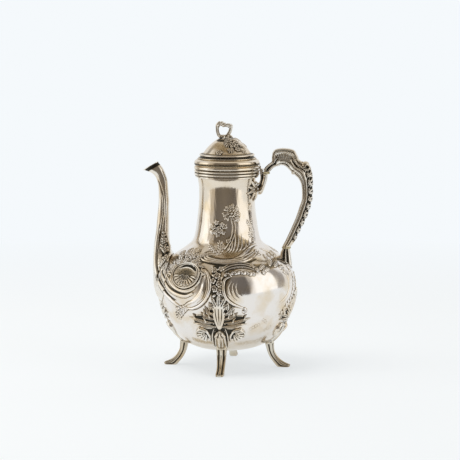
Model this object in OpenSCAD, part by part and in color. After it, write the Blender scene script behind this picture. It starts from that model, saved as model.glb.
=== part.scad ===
// Silver coffee pot on four scroll feet. Millimetres, +Z up, the origin on the pot's axis at table level,
// the spout towards -X and the handle towards +X.

/* [Body] */
// Largest radius of the belly
belly_r = 72.1; // [69:0.1:75]
// Height of the widest part of the belly above the table
belly_z = 85.6; // [83:0.1:88]
// Radius of the neck
neck_r = 29.4; // [28.5:0.1:30.5]
// Height of the mouth's upper edge above the table
mouth_z = 209.3; // [204:0.1:214]
// Thickness of the silver sheet
wall = 1; // [0.8:0.05:1.2]
// Diameter of a strainer hole behind the spout
strainer_d = 3; // [2:0.1:3.5]

/* [Mouth and lid] */
// How far the mouth ring and the lid's rim stand out from the neck
rim_out = 5.2; // [4.6:0.1:6]
// Height of the mouth ring
ring_h = 9; // [8:0.1:10]
// Height of the lid from its lower edge to its top plate
lid_h = 32.4; // [30:0.1:34]
// Depth of the bezel inside the neck
bezel_depth = 5; // [4:0.1:6]
// Height of the finial's loop above its collar
finial_h = 17; // [15:0.1:19]

/* [Hinge] */
// Length of the hinge along its pin
hinge_w = 12; // [10:0.5:14]
// Radius of the knuckles
knuckle_r = 1.75; // [1.6:0.05:1.9]
// Radius of the hinge pin
pin_r = 0.8; // [0.7:0.05:0.9]

/* [Spout] */
// Reach of the beak from the pot's axis
spout_reach = 89.2; // [86:0.1:92]
// Height of the spout's heel, its highest point
spout_z = 216.7; // [210:0.1:222]
// Half the angle that the spout's foot covers on the belly
spout_foot_angle = 34; // [31:1:35]

/* [Handle] */
// Reach of the handle from the pot's axis
handle_reach = 90.8; // [88:0.1:94]
// Half the width of the grip, across the pot
grip_w = 5.2; // [4.6:0.1:5.8]
// Thickness of an insulator
insulator_h = 2; // [1.6:0.1:2.4]
// Rise of the lower socket above the shoulder
lower_socket_h = 14; // [12:0.1:16]

/* [Feet] */
// How far inside the belly's largest radius the toes end
toe_in = 4.5; // [2:0.1:7]
// Half the width of a leg at its top
leg_w = 5.85; // [5.2:0.05:6.4]
// Half the width of the leaf mount above each leg
mount_w = 26; // [23:0.5:28]
// Thickness of the cast leaf mounts
mount_t = 3; // [2.4:0.1:3.6]

/* [Hidden] */

SILVER = [0.80, 0.78, 0.74];
OLD_SILVER = [0.68, 0.66, 0.62];
IVORY = [0.93, 0.88, 0.70];

seat = 0.3;          // gap behind a cast piece that is soldered on a curved wall
slip = 0.1;          // gap between a peg and its bore
eps = 0.01;
$fn = 96;
rim_r = neck_r + rim_out;

// The body's outline as [radius, height], for the sizes named ref_.
ref_belly = [72.1, 85.6];
LOWER = [[0, 18.6], [16, 19.1], [28, 21], [38, 24.2], [46.7, 28.9], [53, 35], [58.6, 42.5], [62.8, 50.5],
         [66.4, 60.5], [69.4, 70.8], [71.5, 80]];
// The same above the belly, as [distance outside the neck, rise above the belly's line].
ref_swell = 42.7;
ref_rise = 123.7;
UPPER = [[42.7, 0], [42.3, 6.4], [40.8, 14.8], [37.3, 22.2], [30.6, 30.1], [24.6, 35.2], [18.3, 39.1],
         [12.6, 43.4], [6.9, 48.9], [4.2, 57.1], [2.5, 67.7], [0.9, 80.4], [0.1, 91], [0, 101.4],
         [0, 111], [0, 123.7]];

function mix(a, b, t) = a + (b - a) * t;

// Smooth curve through the points p, with n steps between neighbours.
function bend(p, i, t) =
    let (a = p[max(i - 1, 0)], b = p[i], c = p[i + 1], d = p[min(i + 2, len(p) - 1)])
    (2 * b + (c - a) * t + (2 * a - 5 * b + 4 * c - d) * t * t + (3 * b - a - 3 * c + d) * t * t * t) / 2;
function smooth(p, n) =
    concat([for (i = [0:len(p) - 2]) for (k = [0:n - 1]) bend(p, i, k / n)], [p[len(p) - 1]]);

BODY = concat(
    smooth([for (p = concat(LOWER, [ref_belly]))
            [p.x * belly_r / ref_belly.x, p.y * belly_z / ref_belly.y]], 2),
    [for (i = [1:28]) smooth([for (p = UPPER) [neck_r + p.x * (belly_r - neck_r) / ref_swell,
                                               belly_z + p.y * (mouth_z - belly_z) / ref_rise]], 2)[i]],
    [[neck_r, mouth_z]]);
top = len(BODY) - 1;

// Distance along the outline from the bottom's centre, and the outward normal, at each point of it.
RUN = [for (i = 0, s = 0; i <= top; s = s + (i < top ? norm(BODY[i + 1] - BODY[i]) : 0), i = i + 1) s];
NORMAL = [for (i = [0:top])
    let (d = BODY[min(i + 1, top)] - BODY[max(i - 1, 0)]) [d.y, -d.x] / norm(d)];
R_AT = [for (i = [0:top]) [RUN[i], BODY[i].x]];
Z_AT = [for (i = [0:top]) [RUN[i], BODY[i].y]];
NR_AT = [for (i = [0:top]) [RUN[i], NORMAL[i].x]];
NZ_AT = [for (i = [0:top]) [RUN[i], NORMAL[i].y]];
RUN_AT_Z = [for (i = [0:top]) [BODY[i].y, RUN[i]]];
R_AT_Z = [for (i = [0:top]) [BODY[i].y, BODY[i].x]];
UNDERSIDE = [for (p = BODY) if (p.y < belly_z) [p.x, p.y]];
SHOULDER = [for (i = [top:-1:0]) if (BODY[i].y >= belly_z && BODY[i].x > neck_r + eps) BODY[i]];

// Point over the body's skin: angle about the axis, distance along the outline, height above the skin.
function skin(a, s, h) =
    let (r = lookup(s, R_AT) + h * lookup(s, NR_AT))
    [r * cos(a), r * sin(a), lookup(s, Z_AT) + h * lookup(s, NZ_AT)];

// A point moved out from the axis until it is clear of the body by gap.
function clear(p, gap) =
    let (flat = norm([p.x, p.y]), least = lookup(p.z, R_AT_Z) + gap)
    flat >= least ? p : [p.x * least / flat, p.y * least / flat, p.z];

// Points of one cross-section. A station is [xa, za, xb, zb, w]: its two edges in the XZ plane and its
// half width along Y. The exponent e squares its corners.
function power(v, e) = sign(v) * pow(abs(v), 2 / e);
function ring(st, m, e) = [for (i = [0:m - 1])
    let (u = power(cos(360 * i / m), e), v = power(sin(360 * i / m), e))
    [mix(st[0], st[2], (1 + u) / 2), st[4] * v, mix(st[1], st[3], (1 + u) / 2)]];
function rings(stations, m, e) = [for (st = stations) ring(st, m, e)];

// Stations of a round bar of half thickness t and half width w along the centre line c.
function bar(c, t, w) = [for (i = [0:len(c) - 1])
    let (d = c[min(i + 1, len(c) - 1)] - c[max(i - 1, 0)], n = t * [d.y, -d.x] / norm(d))
    [c[i].x - n.x, c[i].y - n.y, c[i].x + n.x, c[i].y + n.y, w]];

// Solid through a list of cross-sections, with a centre point for each end.
module loft(sections, start, end) {
    m = len(sections[0]);
    n = len(sections);
    points = concat([for (r = sections) each r], [start, end]);
    sides = [for (k = [0:n - 2]) for (i = [0:m - 1]) let (j = (i + 1) % m)
        each [[k * m + i, (k + 1) * m + i, (k + 1) * m + j], [k * m + i, (k + 1) * m + j, k * m + j]]];
    first = [for (i = [0:m - 1]) [n * m, i, (i + 1) % m]];
    last = [for (i = [0:m - 1]) [n * m + 1, (n - 1) * m + (i + 1) % m, (n - 1) * m + i]];
    polyhedron(points, concat(sides, first, last));
}

function centre(points) = [for (k = [0:2]) points[0][k] + points[floor(len(points) / 2)][k]] / 2;
module bar_loft(stations, m, e) {
    sections = rings(stations, m, e);
    loft(sections, centre(sections[0]), centre(sections[len(sections) - 1]));
}

// Cast ornament that hugs the body: an outline of [across, along] points about a place on the skin.
module hugging(angle, s0, outline, thick) {
    m = len(outline);
    n = 3;
    edge = 0.8;
    function place(p, h) = skin(angle + p.x * 180 / PI / lookup(s0 + p.y, R_AT), s0 + p.y, h);
    function crown(k) = seat + edge + (thick - edge) * (1 - pow(k / n, 4));
    front = concat([place([0, 0], crown(0))], [for (k = [1:n]) for (p = outline) place(p * k / n, crown(k))]);
    back = concat([place([0, 0], seat)], [for (k = [1:n]) for (p = outline) place(p * k / n, seat)]);
    b = len(front);
    function at(k, i) = 1 + (k - 1) * m + i % m;
    faces = [for (i = [0:m - 1]) each concat(
        [[0, at(1, i + 1), at(1, i)], [b, b + at(1, i), b + at(1, i + 1)],
         [b + at(n, i), at(n, i), at(n, i + 1)], [b + at(n, i), at(n, i + 1), b + at(n, i + 1)]],
        [for (k = [1:n - 1]) each
            [[at(k, i), at(k, i + 1), at(k + 1, i + 1)], [at(k, i), at(k + 1, i + 1), at(k + 1, i)],
             [b + at(k, i), b + at(k + 1, i + 1), b + at(k, i + 1)],
             [b + at(k, i), b + at(k + 1, i), b + at(k + 1, i + 1)]]])];
    polyhedron(concat(front, back), faces);
}

// Oval outline with lobes, as of a leaf or a shell.
outline_points = 44;
function lobed(w, h, lobes, depth) = [for (i = [0:outline_points - 1])
    let (t = 360 / outline_points * i, k = 1 + depth * cos(lobes * (t - 90)))
    [w * k * cos(t), h * k * sin(t)]];

// Body

module body_shell() {
    inside = concat([[0, BODY[0].y + wall]], [for (i = [1:top - 1]) BODY[i] - wall * NORMAL[i]],
                    [[neck_r - wall, mouth_z]]);
    color(SILVER) difference() {
        rotate_extrude() polygon(concat(BODY, [for (i = [top:-1:0]) inside[i]]));
        for (row = [-2:2], col = [-2:2])
            if (abs(col) < 2 || row % 2 == 0)
                translate([0, 6 * (col + (row % 2 == 0 ? 0 : 0.5)), belly_z + 7 + 5.5 * row])
                    rotate([0, -90, 0]) cylinder(h = belly_r + wall, d = strainer_d);
    }
}

// Main scrolls of the chased work, as lines of [turn from the spout, height] places for the height belly_z
// in ref_belly. The front half of the body has them, and the back half mirrors it.
cartouche_turn = 128;
spout_side = spout_foot_angle + 3.5;
FRAME = [[100.5, 104.5], [95, 100.5], [94, 91.5], [96.5, 83.5], [102.5, 77], [110, 73.5]];
function opposite(line) = [for (i = [len(line) - 1:-1:0]) [2 * cartouche_turn - line[i].x, line[i].y]];

// Each is [places, half width, rise]: the cartouche's frame and crest, the two lines that frame the shoulder,
// the large C scroll beside the spout with its inner line, and the two that run out from the spout's foot.
SCROLLS = [
    [FRAME, 1.7, 1.5],
    [opposite(FRAME), 1.7, 1.5],
    [[[94, 111], [101.5, 115], [111.5, 116], [121.5, 113.5], [128, 109.5]], 1.4, 1.1],
    [[[135, 115], [143, 117], [151, 115], [158, 110.5]], 1.4, 1.1],
    [[[77.5, 129.5], [67.5, 128], [65.5, 122.5], [77.5, 119], [95.5, 118], [113.5, 119], [128.5, 122.5],
      [140.5, 127.5]], 1.6, 1.2],
    [[[99.5, 121.7], [113.5, 125.5], [125.5, 129], [137.5, 131.8]], 1.8, 1.2],
    [[[72, 110], [77.5, 107.5], [81, 100.5], [82, 92], [78.5, 81], [71.5, 73], [62.5, 70]], 2.1, 2],
    [[[76.5, 101], [76.5, 92], [72.5, 83], [63, 76.5], [53.5, 70]], 1.5, 1.4],
    [[[spout_side, 91], [44.5, 86.5], [54, 83.8], [65.5, 86]], 1.9, 1.4],
    [[[spout_side, 80], [43.5, 75.5], [48.5, 72.5]], 2, 1.4]];

// Distance along the body's outline at a height that is given for the outline in ref_belly.
function run_at(z) = lookup(z <= ref_belly.y ? z * belly_z / ref_belly.y
    : belly_z + (z - ref_belly.y) * (mouth_z - belly_z) / ref_rise, RUN_AT_Z);

// Rounded strip along a line of places on the skin. Side is 1 for the front half and -1 for the back half.
module scroll(line, half, rise, side) {
    places = smooth([for (p = line) [180 + side * p.x, run_at(p.y)]], 2);
    last = len(places) - 1;
    sections = [for (i = [0:last])
        let (d = places[min(i + 1, last)] - places[max(i - 1, 0)],
             degree = lookup(places[i].y, R_AT) * PI / 180,
             n = side / norm([d.x * degree, d.y]) * [-d.y / degree, d.x * degree],
             k = i == 0 || i == last ? 0.5 : 1)
        [for (c = [[side, 0], [0.62 * side, 0.72], [0, 1], [-0.62 * side, 0.72], [-side, 0]])
            let (place = places[i] + k * half * c.x * n) skin(place.x, place.y, seat + k * rise * c.y)]];
    loft(sections, centre(sections[0]), centre(sections[last]));
}
module scrolls(side) {
    color(SILVER) for (s = SCROLLS) scroll(s[0], s[1], s[2], side);
}
module scrolls_front() scrolls(1);
module scrolls_back() scrolls(-1);

module mouth_ring() {
    bottom = mouth_z - ring_h;
    bead = 1.35;
    color(SILVER) rotate_extrude() {
        translate([neck_r, bottom]) square([rim_r - bead - neck_r, ring_h]);
        translate([rim_r - bead, bottom + bead]) circle(r = bead);
        translate([rim_r - bead, bottom + ring_h / 2]) circle(r = bead);
        translate([rim_r - bead, mouth_z - bead]) circle(r = bead);
    }
}

// Spout: outer edge, inner edge and half width of its sections, from the belly to the mouth.
SPOUT = [[-74.5, 74.5, -58.2, 120, 25], [-77.8, 84, -60, 124, 16.5], [-79, 100, -61.2, 131, 11.5],
         [-78.7, 116, -61.5, 138, 9.4], [-77.8, 130, -61.7, 146, 8.2], [-75.8, 143, -61.7, 154, 7.2],
         [-74.3, 158, -61.6, 165, 6.3], [-73, 173, -61.6, 176, 5.6], [-72.7, 186, -62.5, 188, 5],
         [-73.6, 194, -63.3, 197, 4.8], [-75.6, 200, -65.5, 204, 4.9], [-79.8, 204.6, -68.8, 210.6, 5.2],
         [-89.2, 208, -73.9, 216.7, 4.4]];
ref_spout = [89.2, 216.7];
spout_wall = 0.9;
foot_low = 67;       // where the spout's foot starts and ends on the belly, as heights
foot_high = 116.5;

function shrunk(st, t) =
    let (d = [st[2] - st[0], st[3] - st[1]], u = t * d / norm(d))
    [st[0] + u.x, st[1] + u.y, st[2] - u.x, st[3] - u.y, st[4] - t];
function footprint(angle, m, inset, h) =
    let (low = lookup(foot_low * belly_z / ref_belly.y, RUN_AT_Z) + inset,
         high = lookup(foot_high * belly_z / ref_belly.y, RUN_AT_Z) - inset)
    [for (i = [0:m - 1]) skin(180 - angle * sin(360 * i / m),
                              mix(low, high, (1 + cos(360 * i / m)) / 2), h)];

module spout_casting() {
    m = 24;
    kx = spout_reach / ref_spout.x;
    kz = spout_z / ref_spout.y;
    line = smooth([for (s = SPOUT) [s[0] * kx, s[1] * kz, s[2] * kx, s[3] * kz, s[4]]], 2);
    outer = concat([footprint(spout_foot_angle, m, 0, seat)],
                   [footprint(spout_foot_angle - 1, m, 1, seat + spout_wall)],
                   [for (st = line) [for (p = ring(st, m, 2.2)) clear(p, seat + 2.4 * spout_wall)]]);
    inner = concat([for (i = [len(line) - 1:-1:0])
                       [for (p = ring(shrunk(line[i], spout_wall), m, 2.2)) clear(p, 3 * seat)]],
                   [footprint(spout_foot_angle - 8, m, 6, seat)],
                   [footprint(spout_foot_angle - 4, m, 3, seat)]);
    loop = concat(outer, inner);
    n = len(loop);
    polyhedron([for (r = loop) each r],
        [for (k = [0:n - 1]) for (i = [0:m - 1]) let (j = (i + 1) % m, q = (k + 1) % n)
            each [[k * m + i, q * m + i, q * m + j], [k * m + i, q * m + j, k * m + j]]]);
}

// The spout is cast as two halves, which a seam joins along the pot's middle plane.
module spout_half(side) {
    color(SILVER) intersection() {
        spout_casting();
        translate([-2 * spout_reach, side > 0 ? 0 : -belly_r, 0])
            cube([2 * spout_reach, belly_r, spout_z + 1]);
    }
}
module spout_front_half() spout_half(-1);
module spout_back_half() spout_half(1);

// The cast shell beside the foot of the spout, on the side of the pot that side gives.
shell_angle = 58.5;
shell_z = 104.5;     // height of its middle, for the outline in ref_belly
shell_r = 12.5;
module spout_shell(side) {
    color(OLD_SILVER)
        hugging(180 - side * shell_angle, run_at(shell_z), lobed(shell_r, shell_r, 9, 0.05), mount_t);
}
module spout_shell_front() spout_shell(-1);
module spout_shell_back() spout_shell(1);

// Handle

hinge_x = rim_r + 2.2;
hinge_z = mouth_z - 0.3;
socket_top = hinge_z - 4;
insulator_x = hinge_x + 5;
grip_z = socket_top + insulator_h;
peg_r = 1;
cross_r = 0.5;
leaf_t = 3.6;
leaf_w = 18.5;
leaf_h = 9.4;
leaf_gap = 1.7;      // from the mouth ring down to the leaf
leaf_run = lookup(mouth_z - ring_h - leaf_gap - leaf_h, RUN_AT_Z);

module neck_leaf() {
    color(OLD_SILVER) hugging(0, leaf_run, lobed(leaf_w, leaf_h, 7, 0.06), leaf_t);
}

module cross_bore(x, z, r, reach) {
    translate([x, 0, z]) rotate([90, 0, 0]) cylinder(h = 2 * reach, r = r + eps, center = true);
}
module peg_bore(x, z, r, h) {
    translate([x, 0, z]) cylinder(h = h, r = r + slip);
}

module upper_socket() {
    x0 = neck_r + seat + leaf_t + slip;
    x1 = hinge_x - 1.4;
    x2 = insulator_x + 1.5;
    z = socket_top;
    line = [[x0, z - 9.5, x0, z - 22, 4], [x0 + 1.2, z - 8, x0 + 3.6, z - 21, 4.4],
            [x1, z - 5, x1 + 4.4, z - 14.8, 4.4], [x1, z - 2, x2 - 0.6, z - 6, 4.3], [x1, z, x2, z, 4.3]];
    color(SILVER) difference() {
        bar_loft(smooth(line, 3), 16, 3.4);
        peg_bore(insulator_x, z - 5.2, peg_r, 6);
        cross_bore(insulator_x, z - 2.8, cross_r, 6);
    }
}

module insulator(x, z, r, pr, down, up, cr, cross_down, cross_up) {
    color(IVORY) translate([x, 0, z]) difference() {
        union() {
            cylinder(h = insulator_h, r = r);
            translate([0, 0, -down]) cylinder(h = down + insulator_h + up, r = pr);
        }
        cross_bore(0, -cross_down, cr, r);
        cross_bore(0, insulator_h + cross_up, cr, r);
    }
}
module upper_insulator() insulator(insulator_x, socket_top, 2.6, peg_r, 5, 2.6, cross_r, 2.8, 1.5);

// The grip's two edges, as offsets from the middle of its upper end, and its share of the full half width:
// the outer edge, then the edge towards the fingers.
ref_grip = [49, 76.4];
GRIP = [[-2.4, 0, 2.6, 0, 0.55], [-1.2, 4, 5.6, 3.8, 0.62], [2.5, 7.8, 9.7, 6.5, 0.75],
        [6.9, 11, 12.6, 7.2, 0.85], [8.1, 17.5, 15.2, 7.8, 0.95], [10.5, 22.6, 17.6, 7.6, 1],
        [17.7, 24.9, 19.4, 7, 1], [28, 23.4, 21.8, 5.2, 1], [31.4, 18.6, 24.8, 2.2, 0.95],
        [35, 12.8, 27.6, -0.4, 0.95], [43, 9.3, 30.8, -3.4, 1], [46.8, 4.6, 33.8, -6.3, 1],
        [48.6, -4.8, 37, -12.4, 1], [49, -17, 38, -21, 0.98], [48.5, -27, 37.7, -28.4, 0.95],
        [46, -37, 35.2, -35.8, 0.92], [41.6, -48.4, 31.7, -46, 0.9], [36.8, -58, 27.7, -55.5, 0.87],
        [32.1, -67.5, 23.8, -64, 0.85], [28, -73.6, 20, -72, 0.83], [25.4, -76.4, 17.1, -76.4, 0.81]];

lower_x = insulator_x + (GRIP[20][0] + GRIP[20][2]) / 2 * (handle_reach - insulator_x) / ref_grip.x;
lower_socket_top = lookup(lower_x, SHOULDER) + lower_socket_h;
lower_insulator_r = 4.2;
lower_peg_r = 1.6;
lower_cross_r = 0.7;

module handle_grip() {
    kx = (handle_reach - insulator_x) / ref_grip.x;
    kz = (grip_z - lower_socket_top - insulator_h) / ref_grip.y;
    function gx(v) = insulator_x + v * (v < 5 ? 1 : kx);
    function gz(v) = grip_z + v * (v > 0 ? 1 : kz);
    line = [for (g = GRIP) [gx(g[0]), gz(g[1]), gx(g[2]), gz(g[3]), g[4] * grip_w]];
    color(SILVER) difference() {
        bar_loft(smooth(line, 2), 20, 2.4);
        peg_bore(insulator_x, grip_z - 1, peg_r, 3.7);
        cross_bore(insulator_x, grip_z + 1.5, cross_r, grip_w);
        peg_bore(lower_x, lower_socket_top + insulator_h - 1, lower_peg_r, 6.2);
        cross_bore(lower_x, lower_socket_top + insulator_h + 2.6, lower_cross_r, grip_w);
    }
}

module lower_insulator() {
    insulator(lower_x, lower_socket_top, lower_insulator_r, lower_peg_r, 5, 5, lower_cross_r, 2.6, 2.6);
}

module lower_socket() {
    z = lower_socket_top;
    line = smooth([[lower_x - 7, 0, lower_x + 6.4, 0, 6.4], [lower_x - 6.2, z - 7, lower_x + 5, z - 10, 5.4],
                   [lower_x - 4.6, z - 3.4, lower_x + 4, z - 4, 4.6],
                   [lower_x - 4.2, z, lower_x + 4.2, z, 4.2]], 3);
    function landed(p) = [p.x, p.y, lookup(norm([p.x, p.y]), SHOULDER) + 1.4 * seat];
    sections = rings(line, 20, 2.4);
    raised = [for (k = [1:len(sections) - 1]) [for (p = sections[k])
        [p.x, p.y, max(p.z, landed(p).z + 0.5 * k)]]];
    middle = centre(sections[0]);
    foot = [for (share = [0.5, 1]) [for (p = sections[0]) landed(mix(middle, p, share))]];
    color(SILVER) difference() {
        loft(concat(foot, raised), landed(middle), centre(raised[len(raised) - 1]));
        peg_bore(lower_x, z - 5.2, lower_peg_r, 6);
        cross_bore(lower_x, z - 2.6, lower_cross_r, 8);
    }
}

module insulator_pins() {
    color(SILVER) {
        for (z = [socket_top - 2.8, grip_z + 1.5])
            translate([insulator_x, 0, z]) rotate([90, 0, 0]) cylinder(h = 4.6, r = cross_r, center = true);
        for (z = [lower_socket_top - 2.6, lower_socket_top + insulator_h + 2.6])
            translate([lower_x, 0, z]) rotate([90, 0, 0]) cylinder(h = 7.4, r = lower_cross_r, center = true);
    }
}

// Hinge: its pin lies along Y, between the mouth ring and the handle.

middle_w = 3.8;
knuckle_gap = 0.2;
pin_slip = 0.06;

module knuckle(y, w, bore) {
    translate([hinge_x, y, hinge_z]) rotate([90, 0, 0]) difference() {
        cylinder(h = w, r = knuckle_r, center = true);
        cylinder(h = w + 1, r = bore, center = true);
    }
}

module hinge_body_leaf() {
    side_w = (hinge_w - middle_w) / 2 - knuckle_gap;
    side_y = hinge_w / 2 - side_w / 2;
    plate_z = socket_top + 0.05;
    color(SILVER) {
        for (y = [-side_y, side_y]) {
            difference() {
                translate([hinge_x - 1.3, y - side_w / 2, plate_z]) cube([2.6, side_w, hinge_z - plate_z]);
                translate([hinge_x, y, hinge_z]) rotate([90, 0, 0])
                    cylinder(h = side_w + 1, r = knuckle_r - 0.3, center = true);
            }
            knuckle(y, side_w, pin_r);
        }
        translate([hinge_x - 1.3, -hinge_w / 2, plate_z]) cube([2.6, hinge_w, 1.3]);
    }
}

module hinge_lid_leaf() {
    top_z = lid_z + rim_h;
    color(SILVER) {
        difference() {
            translate([rim_r - 2, -middle_w / 2, lid_z + 0.1]) {
                cube([hinge_x - rim_r + 1.2, middle_w, rim_h - 0.2]);
                cube([2.5, middle_w, rim_h + 2.4]);
            }
            cylinder(h = 2 * top_z, r = rim_r + 0.05);
            translate([hinge_x, 0, hinge_z]) rotate([90, 0, 0])
                cylinder(h = middle_w + 1, r = knuckle_r - 0.3, center = true);
        }
        knuckle(0, middle_w, pin_r + pin_slip);
    }
}

module hinge_pin() {
    color(SILVER) translate([hinge_x, 0, hinge_z]) rotate([90, 0, 0])
        cylinder(h = hinge_w, r = pin_r, center = true);
}

// Lid

lid_z = mouth_z + 0.3;
rim_h = 3.9;
bezel_r = neck_r - wall - 0.4;
ref_lid = [34.2, 32.4];
// The lid's outer and inner outlines above its lower edge.
LID_OUT = [[33.2, 3.9], [34.1, 5.4], [34.2, 7.2], [33.6, 9.2], [31.7, 9.9], [31.5, 11.6], [31, 12.4],
           [29.4, 12.6], [29.2, 14.8], [28.3, 16], [25.2, 16.3], [24.5, 17.6], [23.6, 18.7], [19.6, 22.8],
           [15.3, 26.7], [11.5, 30], [8.5, 32], [6.2, 32.4], [1.7, 32.4]];
LID_IN = [[1.7, 31.3], [6, 31.3], [8, 31], [10.8, 29.1], [14.6, 25.8], [18.9, 21.9], [22.8, 17.9],
          [23.4, 16.6], [24.2, 15.2], [27.6, 14.9], [28.1, 14.1], [28.3, 11.6], [30.2, 11.3], [30.4, 9.2],
          [32.2, 8.4], [32.9, 7.2], [32.9, 5.6], [32.1, 3.9]];
dome_top = lid_z + lid_h;

function lid_line(points) = [for (p = points)
    [p.x * (rim_r - 0.4) / ref_lid.x, lid_z + rim_h + (p.y - rim_h) * (lid_h - rim_h) / (ref_lid.y - rim_h)]];

module lid_rim() {
    color(SILVER) rotate_extrude() {
        translate([bezel_r, lid_z]) square([rim_r - rim_h / 2 - bezel_r, rim_h]);
        translate([rim_r - rim_h / 2, lid_z + rim_h / 2]) circle(d = rim_h);
    }
}
module lid_shell() {
    color(SILVER) difference() {
        rotate_extrude() polygon(concat(lid_line(LID_OUT), lid_line(LID_IN)));
        translate([0, 0, dome_top - 4]) cylinder(h = 8, r = stud_r + slip);
    }
}
module lid_bezel() {
    color(SILVER) rotate_extrude()
        polygon([[bezel_r, lid_z + 2.5], [bezel_r, lid_z], [bezel_r - 0.8, lid_z - bezel_depth],
                 [bezel_r - 1.6, lid_z - bezel_depth], [bezel_r - 1, lid_z], [bezel_r - 1, lid_z + 2.5]]);
}

// Finial: an open scroll loop that stands across the pot's length, bolted through the lid.

stud_r = 1.6;
collar_h = 2;
loop_x = -2.4;
nut_h = 2.6;
// Middle lines of the two scrolls as [across, up] for a loop of the height ref_loop.
ref_loop = 17;
LEFT_SCROLL = [[1.8, 1.5], [-4.2, 2.2], [-7.5, 5.4], [-7.9, 9.8], [-6.6, 13.4], [-3.8, 15.4], [-0.6, 14.4],
               [0, 12]];
RIGHT_SCROLL = [[1.6, 1.6], [3.8, 3.2], [5.8, 6.4], [6.6, 10], [6.4, 12.6]];

module finial_collar() {
    color(SILVER) translate([0, 0, dome_top]) rotate_extrude()
        polygon([[stud_r + slip, 0], [5.6, 0], [5.6, 0.6], [3.6, 1.4], [3.2, collar_h],
                 [stud_r + slip, collar_h]]);
}

module finial() {
    base = dome_top + collar_h;
    k = finial_h / ref_loop;
    function up(points) = [for (p = points) [loop_x + p.x, base + p.y * k]];
    color(SILVER) {
        bar_loft(bar(smooth(up(LEFT_SCROLL), 3), 1.35, 1.7), 12, 2);
        bar_loft(bar(smooth(up(RIGHT_SCROLL), 3), 1.25, 1.6), 12, 2);
        translate([loop_x + 6.2, 0, base + 13.2 * k]) sphere(r = 2, $fn = 32);
        translate([0, 0, base]) cylinder(h = 2, r1 = 3, r2 = 2.4);
        translate([0, 0, dome_top - 4.9]) cylinder(h = 4.9 + collar_h + 0.5, r = stud_r);
    }
}

module finial_nut() {
    under = lid_line(LID_IN)[0].y;
    color(SILVER) translate([0, 0, under - nut_h]) difference() {
        cylinder(h = nut_h, r = 3.6, $fn = 6);
        translate([0, 0, -1]) cylinder(h = nut_h + 2, r = stud_r + slip / 2);
    }
}

// Feet: outer edge, inner edge and share of the leg's half width, from the belly down to the toe.

ref_toe = 67.6;
toe_r = belly_r - toe_in;
knee_r = 45.6 * belly_r / ref_belly.x;
ankle_r = 50;        // where the leg starts to sweep outwards
LEG = [[50.3, 0, 40.9, 0, 1], [50.1, 23, 41.7, 21.6, 0.92], [50.7, 17, 43.4, 15.6, 0.84],
       [53.6, 11.4, 46, 10, 0.77], [57.4, 7.4, 50, 4.4, 0.73], [61, 5, 54.6, -0.4, 0.75],
       [64.4, 3.5, 60, -0.8, 0.76], [66.6, 2.9, 65.2, -0.5, 0.66], [67.5, 2.1, 67, 0.5, 0.34]];

module leg() {
    k = belly_r / ref_belly.x;
    function spread(r) =
        r <= ankle_r ? r * k : ankle_r * k + (r - ankle_r) * (toe_r - ankle_r * k) / (ref_toe - ankle_r);
    function under(p) = [p.x, p.y, lookup(norm([p.x, p.y]), UNDERSIDE) - 1.3 * seat];
    line = smooth([for (s = LEG) [spread(s[0]), s[1], spread(s[2]), s[3], s[4] * leg_w]], 2);
    lower = [for (k = [3:len(line) - 1]) ring(line[k], 16, 2.8)];
    top_ring = [for (p = ring(line[0], 16, 2.8)) under(p)];
    color(SILVER) difference() {
        loft(concat([top_ring], lower), under([knee_r, 0, 0]), centre(lower[len(lower) - 1]));
        translate([0, -2 * leg_w, -10]) cube([2 * toe_r, 4 * leg_w, 10]);
    }
}
module leg_front() rotate(270) leg();
module leg_back() rotate(90) leg();
module leg_spout_side() rotate(180) leg();
module leg_handle_side() leg();

mount_run = lookup(52.5 * belly_z / ref_belly.y, RUN_AT_Z);
mount_h = 18.5;
mount_short = 3;      // what the mount under the spout's foot lacks at its upper and lower half
module leaf_mount(angle, cut) {
    color(OLD_SILVER) hugging(angle, mount_run - cut, lobed(mount_w, mount_h - cut, 11, 0.07), mount_t);
}
module leaf_mount_front() leaf_mount(270, 0);
module leaf_mount_back() leaf_mount(90, 0);
module leaf_mount_spout_side() leaf_mount(180, mount_short);
module leaf_mount_handle_side() leaf_mount(0, 0);

body_shell();
scrolls_front();
scrolls_back();
mouth_ring();
spout_front_half();
spout_back_half();
spout_shell_front();
spout_shell_back();
neck_leaf();
upper_socket();
upper_insulator();
handle_grip();
lower_insulator();
lower_socket();
insulator_pins();
hinge_body_leaf();
hinge_lid_leaf();
hinge_pin();
lid_rim();
lid_shell();
lid_bezel();
finial_collar();
finial();
finial_nut();
leg_front();
leg_back();
leg_spout_side();
leg_handle_side();
leaf_mount_front();
leaf_mount_back();
leaf_mount_spout_side();
leaf_mount_handle_side();
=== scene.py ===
"""Looks of the silver coffee pot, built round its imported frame.

Sizes are in millimetres and angles in degrees. Meshes are scaled to metres when they are made.
The spout points to -X and the handle to +X. A turn is an angle from the spout, 0 at the spout and 180 at
the handle, and what is drawn at a turn shows on the front and on the back of the pot alike.
"""

import math

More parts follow.
